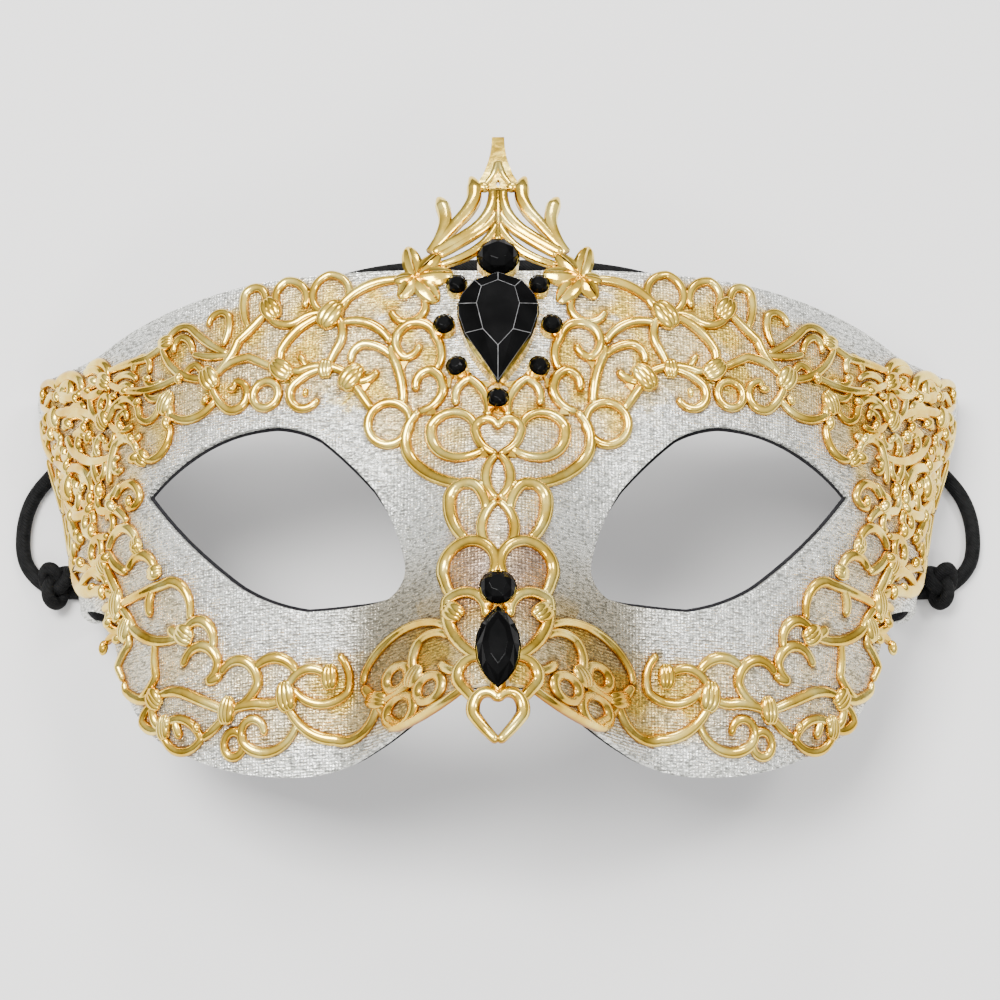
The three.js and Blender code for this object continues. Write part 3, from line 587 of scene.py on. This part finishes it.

# %% [markdown]
# ## Silver cloth shell
# The shell is a stiff moulded sheet, 1.3 mm thick, covered in silver knit. Half of it is
# spread between one eye hole and the outer edge: a grid that counts round the hole one way
# and outwards the other. Its ends are merged, it is mirrored, bent onto the face, thickened
# and given rounded rims. For the finish we note where painted shade, a painted contact shadow and a painted
# reflection of the gold go.

# %% Edges of the shell
EYE_EDGE = [
    (7, [(30.6, 0.4), (20.8, -9.3, 10), (15.6, -22.5, 22)]),
    (6, [(15.6, -22.5), (18.6, -27.6, 78), (32.8, -28.4, 8)]),
    (8, [(32.8, -28.4), (46, -23.2, 22), (67, -4.6, 12)]),
    (8, [(67, -4.6), (53.4, 1.6, 14)]),
    (6, [(53.4, 1.6), (39.2, 3.5, 18), (30.6, 0.4, 24)])]
OUTER_EDGE = [
    (7, [(0, 30), (0, -46.4, 0)]),
    (6, [(0, -46.4), (11, -47.6, -12), (22, -52, 8), (34, -54.4, 24)]),
    (8, [(34, -54.4), (58, -49, 24), (76, -33, 50), (81, -22, -30), (103, -18, -20), (111.2, -16, 20)]),
    (8, [(111.2, -16), (107.4, -10.5, -24), (107.6, 14, -6), (114.4, 28.5, -26)]),
    (6, [(114.4, 28.5), (104, 29.5, 34), (81, 26.6, -14), (43, 31.2, 6), (0, 30, 4)])]


def edge_places(edge, finer):
    return np.concatenate([even_places(chain, steps * finer)[:-1] for steps, chain in edge])


def whole_sheet(name, finer, rings, lift, into_eye=0.0, draw_in=0.0):
    """The flat sheet between the eye holes and the outer edge, in mm, with its UV map."""
    eye, outer = edge_places(EYE_EDGE, finer), edge_places(OUTER_EDGE, finer)
    outward = outer - eye
    outward /= np.linalg.norm(outward, axis=1, keepdims=True)
    eye = eye - outward * into_eye
    outer = outer - outward * draw_in * (outer[:, :1] > 0.01)
    count = len(eye)
    bm = bmesh.new()
    bmesh.ops.create_grid(bm, x_segments=count, y_segments=rings, size=0.5)
    for vert in bm.verts:
        ring = round((vert.co.x + 0.5) * count) % count
        place = eye[ring] + (outer[ring] - eye[ring]) * (vert.co.y + 0.5)
        vert.co = (max(0.0, place[0]), place[1], 0)
    bmesh.ops.remove_doubles(bm, verts=bm.verts, dist=0.0005)
    mirror_over_middle(bm)
    run = bm.loops.layers.uv.new("run")
    for corner in (loop for f in bm.faces for loop in f.loops):
        corner[run].uv = corner.vert.co.xy * 0.01
    for vert in bm.verts:
        vert.co.z = lift
    if sum(f.normal.z for f in bm.faces) < 0:
        bmesh.ops.reverse_faces(bm, faces=bm.faces)
    return as_mesh(bm, name)


shell_mesh = whole_sheet("silver_cloth_shell", finer=12, rings=44, lift=0.0)
flat = np.array([vert.co.xy[:] for vert in shell_mesh.vertices])
to_wire, sides = near_wires(flat, 6.5)
run, up = np.abs(flat[:, 0]), flat[:, 1]
# Where the painted reflection of the gold may lie: fully high up the face and low down near the nose, less
# elsewhere.
reflection_zone = 0.45 + 0.55 * np.maximum(ease(up, -8, 4), ease(-up, 26, 34) * (1 - ease(run, 32, 40)))
# Painted shade in the loops over the nose.
note(shell_mesh, "painted_shade_nose_loops", soft_patch(flat, (4.6, -27.5), (4.2, 9.5)))
# Painted shade on the flanks of the nose, where the cloth turns away from the light.
note(shell_mesh, "painted_shade_beside_nose", soft_patch(flat, (16.5, -35), (9.5, 13.5)))
# Painted contact shadow, brown with the gold's reflection, in a thin band close beside each wire.
note(shell_mesh, "painted_contact_shadow", np.exp(-(to_wire - WIRE_WIDTH / 2).clip(0) / 0.30))
note(shell_mesh, "painted_gold_reflection", ease(sides, 4.5, 7) * reflection_zone)
bend_onto_face(shell_mesh)
print("shell sheet:", len(shell_mesh.vertices), "places")

# %% Thickness and rims
def thickened(piece, thickness, rim):
    wall = piece.modifiers.new("thickness", "SOLIDIFY")
    wall.thickness, wall.offset, wall.use_even_offset = thickness, -1, True
    edge = piece.modifiers.new("rims", "BEVEL")
    edge.width, edge.segments, edge.limit_method, edge.angle_limit = rim, 3, "ANGLE", math.radians(50)
    return as_plain_mesh(piece)


shell = thickened(shown("silver_cloth_shell", shell_mesh), thickness=0.0013, rim=0.0005)
smooth(shell.data)
print("shell:", len(shell.data.vertices), "places")

# %% [markdown]
# The cloth is a fine metallic knit. Its ribs run up the face, its courses across. Between
# the threads it glitters, so brightness and roughness change from stitch to stitch. Where
# gold wire lies around it, a warm painted reflection of the gold is laid on the cloth. Close
# beside a wire a brown painted contact shadow darkens it, and painted shade darkens it in
# the loops over the nose and beside the nose.

# %% Silver cloth finish
cloth, tree, shader = new_finish("silver_knit")
run = node(tree, "UVMap", {"uv_map": "run"}).outputs["UV"]
in_mm = node(tree, "Mapping", Vector=run, Scale=(100, 100, 100)).outputs["Vector"]
ribs = waves(tree, in_mm, "X", 0.55, Distortion=1.2, Detail=1.0, Detail_Scale=1.5)
courses = waves(tree, in_mm, "Y", 0.62, Distortion=1.6, Detail=1.0, Detail_Scale=1.2)
along_courses = node(tree, "Mapping", Vector=place_on(tree), Scale=(800, 2000, 800)).outputs["Vector"]
glitter = noise(tree, along_courses, 1.3, roughness=0.65)
silver = ramp(tree, glitter, (0.40, (0.36, 0.36, 0.33)), (0.475, (0.74, 0.75, 0.69)), (0.54, (1.0, 1.0, 0.94)))
shade = ramp(tree, noise(tree, in_mm, 0.25, 3.0), (0.3, grey(0.80)), (0.7, grey(1.0)))
turns_silver = mapped(tree, noise(tree, in_mm, 0.11, 1.0), 0.40, 0.52, 1.0, 0.60)
# Painted reflection of the gold, painted contact shadow beside the wires and painted shade over and beside the
# nose, multiplied into the colour.
gold_reflection_amount = times_plus(tree, noted(tree, "painted_gold_reflection"), turns_silver, 0.0)
contact_shadow_amount = mapped(tree, noted(tree, "painted_contact_shadow"), 0.2, 1.0, 0.0, 0.75)
colour = tinted(tree, 1.0, silver, shade)
for amount, tint in ((gold_reflection_amount, (1.0, 0.70, 0.14)), (contact_shadow_amount, (0.42, 0.30, 0.10)),
                     (noted(tree, "painted_shade_nose_loops"), (0.62, 0.50, 0.50)),
                     (noted(tree, "painted_shade_beside_nose"), (0.48, 0.43, 0.34))):
    colour = tinted(tree, amount, colour, (*tint, 1))
height = times_plus(tree, glitter, 3.0, times_plus(tree, ribs, 0.35, courses))
plug(tree, shader, Base_Color=colour, Metallic=0.88,
     Roughness=ramp(tree, glitter, (0.40, grey(0.52)), (0.50, grey(0.42)), (0.60, grey(0.16))),
     Normal=bumps(tree, height, 0.8, 0.00016))
finish_piece(shell, cloth, "silver_cloth", "mask_shell")

# %% [markdown]
# ## Black lining
# Under the cloth the mask is lined with black felt. It is the same sheet, laid a little
# lower, and it reaches a hair into the eye holes, so that it shows as the thin dark line
# round them.

# %% The lining
lining_mesh = whole_sheet("black_lining", finer=5, rings=12, lift=-1.33, into_eye=0.45, draw_in=0.05)
bend_onto_face(lining_mesh)
lining = thickened(shown("black_lining", lining_mesh), thickness=0.0006, rim=0.00025)
smooth(lining.data)
print("lining:", len(lining.data.vertices), "places")

# %% Felt finish
felt, tree, shader = new_finish("black_felt")
where = place_on(tree)
fibres = noise(tree, where, 1400.0, 4.0, 0.7)
tone = node(tree, "Mix", {"data_type": "FLOAT"}, i0=0.35, i2=fibres, i3=noise(tree, where, 60.0)).outputs[0]
plug(tree, shader, Base_Color=ramp(tree, tone, (0.3, (0.004, 0.004, 0.005)), (0.7, (0.022, 0.021, 0.023))),
     Roughness=0.95, IOR=1.2, Normal=bumps(tree, fibres, 0.8, 0.0003))
finish_piece(lining, felt, "black_lining", "lining")

# %% [markdown]
# Inside each temple a small felt tab is sewn to the lining. The end of the elastic is
# stitched up in it, so the pull of the elastic goes into the shell.

# %% Tabs at the ends of the elastic
TAB_MIDDLE, TAB_SIZE, TAB_FOOT, TAB_TIP = (96.3, -10.5, -5.75), (6.2, 5.6, 8.3), 1.15, 0.88
for name, side in (("felt_tab_right", 1), ("felt_tab_left", -1)):
    bm = bmesh.new()
    bmesh.ops.create_cube(bm, size=1, matrix=Matrix.Diagonal((*TAB_SIZE, 1)))
    for vert in bm.verts:
        wide = TAB_TIP if vert.co.z < 0 else TAB_FOOT
        vert.co = (vert.co.x * wide, vert.co.y * wide, vert.co.z)
    bmesh.ops.bevel(bm, geom=bm.edges[:], offset=1.3, segments=5, affect="EDGES", profile=0.5, material=-1)
    for vert in bm.verts:
        vert.co = vert.co + Vector(TAB_MIDDLE)
        vert.co.x *= side
    bmesh.ops.recalc_face_normals(bm, faces=bm.faces)
    tab = as_piece(bm, name)
    bend_onto_face(tab.data)
    smooth(tab.data)
    finish_piece(tab, felt, "black_lining")
print("the tabs reach", round(TAB_SIZE[2] / 2 - TAB_MIDDLE[2], 1), "mm in from the cloth")

# %% [markdown]
# ## Gold
# The casting is polished and plated a pale yellow gold: a plain metal with low roughness,
# whose faint bump bends the reflections. Low down on each wire and beside the nose the gold
# is painted browner, a painted shade for the hollows, and is also rougher; so how low a place
# lies is noted on each casting as it is made.

# %% Gold finish
gold, tree, shader = new_finish("pale_gold")
where = place_on(tree)
patches = noise(tree, where, 190.0, 3.0)
plating = ramp(tree, patches, (0.34, (0.66, 0.40, 0.04)), (0.5, (0.84, 0.57, 0.09)), (0.68, (0.97, 0.76, 0.21)))
# Painted shade: low down on each wire and beside the nose the plating is painted brown, and those places are
# also rougher.
painted_hollow_shade = noted(tree, "painted_hollow_shade")
plug(tree, shader, Base_Color=tinted(tree, painted_hollow_shade, plating, (0.36, 0.20, 0.08, 1)), Metallic=1.0,
     Roughness=times_plus(tree, painted_hollow_shade, 0.22, mapped(tree, patches, 0.35, 0.7, 0.10, 0.20)),
     Normal=bumps(tree, noise(tree, where, 420.0), 0.22, 0.0003))

# %% [markdown]
# ## Wires of the scrollwork
# A wire is a line swept by a small profile. Blender does that with a curve: the line is a
# spline, the profile its bevel object, and each point's radius sets the width there. The
# splines lie flat, so that the profile stands upright, and their mesh is bent onto the
# face. A wire swells in the middle and closes in a round end. The temples' wires are a piece
# of their own, which keeps each mesh small.

# %% Sweeping wires
WIRE_PROFILE = [(-1, -0.25), (-1, 0.15), (-0.9, 0.55), (-0.62, 0.88), (-0.28, 1.04), (0, 1.08)]
WIRE_STEP, SWELL, SWELL_U, THIN, THIN_U = 0.45, 0.25, (76, 90), 0.3, (95, 103)


def profile_object(name, half, size):
    curve = new_curve(name, "2D")
    add_line(curve, [(x * size, y * size, 0) for x, y in both_sides(half)], closed=True)
    return shown(name, curve)


def wire_stations(length, half_width):
    """Runs along a wire, closer together where its round ends close."""
    ends = [k * half_width for k in (0, 0.06, 0.22, 0.5, 0.9)]
    middle = np.linspace(half_width * 1.3, length - half_width * 1.3, max(2, round(length / WIRE_STEP)))
    return np.array(ends + list(middle) + [length - e for e in reversed(ends)])


def wire_shape(way, end):
    """A round end, and a swell to the middle as in a drawn scroll."""
    return np.sqrt(np.maximum(0.0004, 1 - (1 - end.clip(0, 1)) ** 2)) * (0.86 + 0.28 * np.sin(np.pi * way))


def petal_shape(way, end):
    return np.maximum(0.04, np.sin(np.pi * way ** 0.85) ** 0.5)


def flame_shape(way, end):
    """A narrow round tip that widens at once and then thins away to the foot."""
    return np.minimum(1, (way / 0.2) ** 0.6 + 0.08) * (1.06 - 0.42 * way)


def swept(name, wires, profile, half_width, shape=wire_shape, lift=0.0):
    curve = new_curve(name)
    curve.twist_mode = "Z_UP"
    curve.bevel_mode = "OBJECT"
    curve.bevel_object = profile
    curve.use_fill_caps = True
    for chain in wires:
        width, length = wire_width(chain), wire_length(chain)
        closed = math.dist(chain[0][:2], chain[-1][:2]) < 0.01
        if closed:
            stations = np.linspace(0, length, max(8, round(length / WIRE_STEP)) + 1)[:-1]
            radii = np.ones(len(stations))
        else:
            stations = wire_stations(length, half_width * width)
            end = np.minimum(stations, length - stations) / (half_width * width)
            radii = shape(stations / length, end)
        places = along_chain(chain, stations)
        radii = radii * (1 + SWELL * ease(places[:, 0], *SWELL_U) - THIN * ease(places[:, 0], *THIN_U))
        line = add_line(curve, [(u, v, lift) for u, v in places], closed)
        for point, radius in zip(line.points, radii):
            point.radius = radius * width
    return as_plain_mesh(shown(name, curve))


def cast_half(piece):
    """Mirrors a flat half casting, notes where painted shade darkens it and bends it onto the face."""
    bm = bmesh.new()
    bm.from_mesh(piece.data)
    mirror_over_middle(bm, merge=-1)
    bm.to_mesh(piece.data)
    bm.free()
    flat = np.array([vert.co[:] for vert in piece.data.vertices])
    # Painted shade: how low a place lies on its wire, and a patch beside the nose.
    low, painted_shade_beside_nose = 1 - ease(flat[:, 2], 0.05, 0.8), 0.35 * soft_patch(flat, (18, -42.5), (10, 6))
    note(piece.data, "painted_hollow_shade", np.maximum(low, painted_shade_beside_nose))
    bend_onto_face(piece.data)
    return piece


def gild(piece, sharp_from, *nodes):
    smooth(piece.data, sharp_from)
    finish_piece(piece, gold, "gold", *nodes)


wire_profile = profile_object("wire_profile", WIRE_PROFILE, WIRE_WIDTH / 2)
TEMPLE_FROM = 66
for name, at_temple, stands_for in (("gold_scrolls", False, ["filigree"]), ("gold_temple_scrolls", True, [])):
    wires = [chain for chain in all_wires if (chain_places(chain)[0][:, 0].mean() > TEMPLE_FROM) == at_temple]
    gild(cast_half(swept(name, wires, wire_profile, WIRE_WIDTH / 2)), 50, *stands_for)

# %% [markdown]
# ## Crown and leaves
# The crown is cut flatter than the scrolls: a spire and flames with level faces and
# bevelled edges. It is swept with a flat-topped profile. The leaves beside it are swept
# with a ridged one, wide in the middle and pointed at the ends.

# %% Crown
CROWN_PROFILE = [(-0.8, -0.9), (-1, -0.6), (-1, 0.3), (-0.78, 0.66), (-0.4, 0.86), (0, 0.92)]
FLAMES = [
    [(4.9, 50.2, 2.7), (4.3, 44.8, 34), (6.8, 40.4, 24), (10.9, 35, 4)],
    [(10.6, 45.6, 2.6), (9.2, 40.8, 22), (9.6, 38.2, 20), (11.8, 33.8, 20)]]
CROWN_ARMS = [
    [(1, 47.2, 1.8), (1.2, 43.2, 20), (4.4, 38, 34), (11.4, 33.4, 8)],
    [(0, 43.8, 1.35), (3.4, 37.6, 50), (10.2, 32.8, 6)], [(0, 40.2, 1.5), (5, 33.1, 47), (10.2, 31, 20)],
    [(0, 47, 1.5), (0, 35.6, 0)], [(0.1, 53.8, 1.1), (0.9, 50.2, 8), (2.6, 47.4, 8)],
    [(1.4, 47.3, 1.5), (3.6, 48, 0)]]
SPIRE = [(0, 59.5), (1.1, 59.5), (1.2, 57.1), (1.4, 55.3), (1.7, 53.6), (2.1, 52.1), (2.6, 50.4), (3.3, 49),
         (3.2, 47.6), (2.2, 46.9), (1, 47), (0, 47.3), (0.5, 48.2), (0, 49.2)]
crown_profile = profile_object("crown_profile", CROWN_PROFILE, 0.5)
flames = swept("gold_flames", FLAMES, crown_profile, 0.5, flame_shape, lift=0.6)
arms = swept("gold_arms", CROWN_ARMS, crown_profile, 0.5, lift=0.75)
bm = bmesh.new()
for part in (flames, arms):
    bm.from_mesh(part.data)
    bpy.data.objects.remove(part)
raise_face(bm, bm.faces.new([bm.verts.new((u, v, 0.2)) for u, v in SPIRE]), 0.8)
gild(cast_half(as_piece(bm, "gold_crown")), 24)

# %% Leaves
LEAVES = [
    [(14, 28.4, 3.5), (15.7, 35, 0)], [(14.2, 28.6, 3.4), (10, 33.2, 0)], [(14.2, 28.6, 3.9), (7.6, 29.1, 0)],
    [(14.3, 28.8, 3.9), (10.2, 23.6, 0)], [(14, 29, 3.3), (17, 24.6, 0)], [(13.9, 28.6, 2.8), (18, 28.3, 0)]]
LEAF_PROFILE = [(-1, -0.3), (-1, 0.12), (-0.72, 0.34), (-0.36, 0.42), (-0.12, 0.56), (0, 0.74)]
leaf_profile = profile_object("leaf_profile", LEAF_PROFILE, 0.5)
gild(cast_half(swept("gold_leaves", LEAVES, leaf_profile, 0.5, petal_shape, lift=0.9)), 24)

# %% [markdown]
# ## Knots, beads and webs
# Where wires cross, the casting carries a ribbed knot, like a bud bound round the wires:
# three short petals side by side. Small beads, listed by their radius, sit close together
# at the temples, and thin three-cornered webs fill the narrow corners between wires.

# %% Knots where wires cross
KNOTS = [
    (29.1, 22.8, 1.25, 125), (40.3, 25.3, 1.1, 60), (37.9, 13.5, 1.1, 40), (25.1, 10.8, 1.15, 130),
    (52, 14, 1.1, 60), (57.2, -29.6, 1, 30), (48, -42.8, 1, 100), (36.5, -41.5, 1.1, 80),
    (20.1, -43.8, 0.85, 20), (13.4, -42.2, 0.8, 120), (29.8, 12.8, 0.8, 90), (28.6, -38.9, 0.9, 90),
    (75.5, -21.2, 1.1, 100), (79.3, 20.4, 1, 30), (61.6, 11.4, 1, 120), (79.5, 12.9, 1, 60),
    (67.7, 2.8, 0.9, 40), (93.8, 4.4, 1.1, 100), (65, -38.9, 1, 40), (72.8, -26.1, 1, 120),
    (64.3, -18.1, 0.8, 0), (69.1, -12.6, 0.8, 60), (97.7, 19.4, 1, 90), (7.1, -33.4, 0.9, 45),
    (62, 23, 0.8, 0), (62.6, -43.9, 0.9, 90), (80.1, -13.4, 0.9, 60)]
RIB_REACH, RIB_APART, RIB_BOW = 2.3, 0.3, 48
ribs = []
for u, v, size, turn in KNOTS:
    turn = math.radians(turn)
    along = Vector((math.cos(turn), math.sin(turn))) * size
    aside = Vector((-along.y, along.x))
    for step in (-1, 0, 1):
        middle = Vector((u, v)) + aside * step * RIB_APART
        ribs.append([(*middle - along * RIB_REACH, 1.2 * size), (*middle + along * RIB_REACH, -step * RIB_BOW)])
gild(cast_half(swept("gold_knots", ribs, wire_profile, WIRE_WIDTH / 2, petal_shape, lift=0.5)), 50)

# %% Beads and webs
BEADS = {
    1.3: [(100, 20), (69, 2.9), (80, -0.2), (76.2, -4)],
    1.2: [(82.2, 21.3), (91.9, 16.2), (83.5, -0.7), (84.4, -2.6), (83.3, -6.7), (78.6, -12.7)],
    1.1: [(99, 16.6), (84, 10.9), (93.2, 8.3), (61.1, 7.4), (94.6, 4.3), (92.7, -1.4), (88.9, -11),
          (80, -18.3)],
    1: [(79.9, 13.1), (73.4, 10.1), (86, 13.5), (70.1, 6.8), (84.5, -16.6), (78.2, -24), (75.2, -27.3),
          (80.4, -27.8)],
    0.9: [(84.8, 20.2), (72.3, 16.3), (62.2, 11.6), (69, -12.9), (70.7, -4.5), (90.3, -5.4), (102.4, 26.1),
          (95.7, 23), (89.2, 20.3), (68.6, 13.1), (58.4, 15.2), (75, -23.8)],
    0.8: [(52.5, 9.9), (64.2, -18.4), (75.6, 16.3), (66.1, 17.1), (87.1, 2.2), (47.2, 11), (54.4, -44.9),
          (61.4, -43.4)],
    0.7: [(33.2, 8.6)]}
WEBS = [
    (2.1, 7.4, 1.3, 200), (1.7, 2.3, 1.0, 20), (5.7, 9.9, 1.4, 90), (8.5, 8.5, 1.4, 40), (10.9, 3.4, 1.3, 10),
    (16.1, 12.5, 1.1, 60), (23.4, 12.2, 1.1, 0), (22.7, 9, 1.1, 70), (1.4, -14.4, 1.1, 90), (2.2, -6, 1.0, 120)]
bm = bmesh.new()
for radius, u, v in [(radius, *place) for radius, places in BEADS.items() for place in places]:
    place = Matrix.Translation((u, v, 0.75)) @ Matrix.Rotation(u, 4, "Z") @ Matrix.Diagonal((1.3, 0.85, 0.9, 1))
    bmesh.ops.create_uvsphere(bm, u_segments=12, v_segments=8, radius=radius, matrix=place)
for u, v, radius, turn in WEBS:
    place = Matrix.Translation((u, v, 0.2)) @ Matrix.Rotation(math.radians(turn), 4, "Z")
    bmesh.ops.create_cone(bm, segments=3, radius1=radius, radius2=radius * 0.85, depth=0.7, cap_ends=True,
                          matrix=place)
gild(cast_half(as_piece(bm, "gold_beads")), 40)
for profile in (wire_profile, crown_profile, leaf_profile):
    bpy.data.objects.remove(profile)

# %% [markdown]
# ## Cut stones
# The stones are black glass, cut with a flat table and sloping facets. A cut stone is the
# smallest solid round its corners, so we place the corners of the girdle and the table and
# let the convex hull find the facets. A hair of bevel takes the sharpness off the edges: on the
# large pear it is painted a lighter grey, a painted highlight. Each stone sits square in a low gold cup.

# %% Outlines and seats
PAD, STONE_GAP = 0.8, 0.3


def round_outline(radius, sides, turn=0.0):
    angles = [math.tau * (k + turn) / sides for k in range(sides)]
    return [(radius * math.cos(a), radius * math.sin(a)) for a in angles]


def pear_outline(width, length):
    radius = width / 2
    centre = length / 2 - radius
    lean = math.asin(radius * 0.86 / (centre + length / 2))
    dome = [(radius * math.cos(a), centre + radius * math.sin(a))
            for a in np.linspace(-lean, math.pi + lean, 15)]
    a, b, c = Vector(dome[-1]), Vector((-dome[0][0] * 0.82, -length * 0.2)), Vector((0, -length / 2))
    left = [tuple(a.lerp(b, t).lerp(b.lerp(c, t), t)) for t in (0.2, 0.4, 0.6, 0.8, 1.0)]
    return dome + both_sides(left)


def marquise_outline(width, length):
    turn = math.degrees(4 * math.atan(width / length))
    down = arc_places((0, length / 2), (0, -length / 2), turn, 8)[:-1]
    return down + [(-x, -y) for x, y in down]


def seat(u, v, lift, outline):
    """Where a stone sits: square to the face, just over its cup's floor. In mm."""
    normal = Vector(face_normal(u, v))
    across = (Vector((1, 0, 0)) - normal * normal.x).normalized()
    along = normal.cross(across)
    floor = lift + PAD
    middle = Vector(face(u, v)) + normal * floor
    under = [Vector(face(u + x, v + y) + face_normal(u + x, v + y) * floor) for x, y in outline]
    rise = max(0, *((point - middle).dot(normal) for point in under)) + STONE_GAP
    place = Matrix((across, along, normal)).transposed().to_4x4()
    place.translation = middle + normal * rise + Vector(TO_ORIGIN)
    return place, floor + rise


def scaled(places, across, along=None, up=0.0):
    return [(x * across, y * (along or across) + up) for x, y in places]


PEAR_TABLE = [(0, 8.1), (2.85, 6.8), (3.65, 3.4), (2.55, -1.7), (0, -4.9), (-2.55, -1.7), (-3.65, 3.4),
              (-2.85, 6.8)]
PEAR, MARQUISE = pear_outline(13.6, 21), marquise_outline(6.8, 13.6)


def round_cut(radius, height):
    return [(round_outline(radius, 16), 0), (round_outline(radius, 16), height * 0.3),
            (round_outline(radius * 0.82, 8, 0.5), height * 0.72), (round_outline(radius * 0.5, 8), height)]


SMALL, TOP, NOSE = round_outline(1.65, 16), round_outline(3.5, 16), round_outline(2.8, 16)
STONES = {
    "stone_pear": (0, 17.0, 0.9, PEAR, [(PEAR, 0), (PEAR, 1.0), (scaled(PEAR_TABLE, 1.42, 1.22, 0.4), 2.2),
                                        (PEAR_TABLE, 3.2)]),
    "stone_top": (0, 31.6, 0.7, TOP, round_cut(3.5, 2.6)),
    "stone_foot": (0, 3.9, 0.7, SMALL, round_cut(1.65, 1.5)),
    "stone_nose": (0, -31.1, 0.8, NOSE, round_cut(2.8, 2.1)),
    "stone_marquise": (0, -41.3, 0.8, MARQUISE, [(MARQUISE, 0), (MARQUISE, 0.8),
                                                 (scaled(MARQUISE[::2], 0.74, 0.8), 1.9),
                                                 (scaled(MARQUISE[::2], 0.44, 0.56), 2.6)])}
for height, u, v in (("upper", 7.0, 26.4), ("middle", 9.0, 18.8), ("lower", 6.6, 10.6)):
    STONES[f"stone_side_{height}_right"] = (u, v, 0.7, SMALL, round_cut(1.65, 1.5))
    STONES[f"stone_side_{height}_left"] = (-u, v, 0.7, SMALL, round_cut(1.65, 1.5))
print(len(STONES), "stones")

# %% Black glass
# The pear's bevels are painted a lighter grey: a painted highlight along its facet edges.
facet_highlights, tree, shader = new_finish("painted_facet_highlight")
highlight_grain = noise(tree, place_on(tree), 500.0)
plug(tree, shader, Base_Color=ramp(tree, highlight_grain, (0.35, grey(0.05)), (0.65, grey(0.17))), Roughness=0.6)

glass, tree, shader = new_finish("black_glass")
smoke = noise(tree, place_on(tree), 300.0)
plug(tree, shader, Base_Color=ramp(tree, smoke, (0.3, grey(0.0008)), (0.8, grey(0.003))),
     Roughness=ramp(tree, smoke, (0.3, grey(0.04)), (0.8, grey(0.12))), IOR=1.17)
print("finishes:", facet_highlights.name, glass.name)

# %% Cutting and setting
def cut_stone(name, levels, place):
    bm = bmesh.new()
    for outline, height in levels:
        for x, y in outline:
            bm.verts.new((x, y, height))
    hull = bmesh.ops.convex_hull(bm, input=bm.verts)
    loose = {g for g in hull["geom_interior"] + hull["geom_unused"] if isinstance(g, bmesh.types.BMVert)}
    bmesh.ops.delete(bm, geom=list(loose), context="VERTS")
    bmesh.ops.dissolve_limit(bm, angle_limit=math.radians(11), verts=bm.verts, edges=bm.edges)
    bevel = 0.016 + 0.0032 * max(x for x, y in levels[0][0]) ** 1.25
    edges = bmesh.ops.bevel(bm, geom=bm.edges[:], offset=bevel, offset_type="OFFSET", segments=1, profile=0.5,
                            affect="EDGES", material=-1)
    # Painted highlight: the pear's bevel faces take the lighter grey finish.
    if name == "stone_pear":
        for highlit_edge in edges["faces"]:
            highlit_edge.material_index = 1
    bmesh.ops.recalc_face_normals(bm, faces=bm.faces)
    bmesh.ops.transform(bm, matrix=Matrix.Scale(0.001, 4) @ place, verts=bm.verts)
    return as_piece(bm, name + "_cut")


def cup(cups, outline, place, depth, rim=0.32, wall=0.24):
    """A low cup: an outline drawn up from the cloth and sunk in the middle."""
    across = 1 + wall / max(x for x, y in outline)
    along = 1 + wall / max(y for x, y in outline)
    bm = bmesh.new()
    floor = bm.faces.new([bm.verts.new((x * across, y * along, -depth - 0.2)) for x, y in outline])
    top = raise_face(bm, floor, depth + 0.2 + rim)
    bmesh.ops.inset_region(bm, faces=[top], thickness=wall * 0.8)
    bmesh.ops.translate(bm, verts=top.verts[:], vec=(0, 0, -rim - 0.1))
    bmesh.ops.transform(bm, matrix=place, verts=bm.verts)
    cups.from_mesh(as_mesh(bm, "cup"))


cups = bmesh.new()
for name, (u, v, lift, outline, levels) in STONES.items():
    place, depth = seat(u, v, lift, outline)
    stone = finish_piece(cut_stone(name, levels, place), glass, "black_stone", name)
    stone.data.materials.append(facet_highlights)
    cup(cups, outline, place, depth)
bmesh.ops.recalc_face_normals(cups, faces=cups.faces)
bmesh.ops.transform(cups, matrix=Matrix.Scale(0.001, 4), verts=cups.verts)
gild(as_piece(cups, "gold_cups"), 35)

# %% [markdown]
# ## Table and light
# A plain pale floor, with one large soft light nearly overhead, as in the photograph: the
# mask's shadow stays under it. Three small lamps are there for the gold, which shows what
# surrounds it: each is a bright point on every wire.

# %% Floor
bm = bmesh.new()
bmesh.ops.create_grid(bm, x_segments=1, y_segments=1, size=1.5)
floor = as_piece(bm, "floor")
floor_finish, tree, shader = new_finish("pale_floor")
plug(tree, shader, Base_Color=(0.67, 0.66, 0.645, 1), Roughness=0.7)
floor.data.materials.append(floor_finish)
print("floor laid")

# %% Lights
LIT_POINT = Vector((0, 0, 0.03))


def soft_light(name, place, size, power):
    data = bpy.data.lights.new(name, "AREA")
    data.shape, data.size, data.size_y, data.energy = "RECTANGLE", size[0], size[1], power
    light = shown(name, data)
    light.location = place
    light.rotation_euler = (LIT_POINT - Vector(place)).to_track_quat("-Z", "Y").to_euler()


soft_light("window", (-0.33, 0.10, 1.00), (0.42, 0.50), 20.0)
soft_light("lamp_behind", (0.06, 0.90, 0.66), (0.36, 0.16), 5.0)
soft_light("lamp_right", (0.50, 0.20, 0.85), (0.18, 0.24), 4.2)
soft_light("lamp_front", (0.20, -0.62, 0.78), (0.25, 0.14), 2.8)
world = bpy.data.worlds.new("room")
bpy.context.scene.world = world
world.use_nodes = True
tree = world.node_tree
height = node(tree, "SeparateXYZ", Vector=node(tree, "TexCoord").outputs["Generated"]).outputs["Z"]
plug(tree, tree.nodes["Background"], Color=(0.96, 0.97, 1.0, 1),
     Strength=mapped(tree, height, 0.0, 0.85, 0.20, 1.62))
print("lights and sky set")

# %% [markdown]
# ## The end
# Last, we print that the scene is built.

# %% Finish
print("scene built")
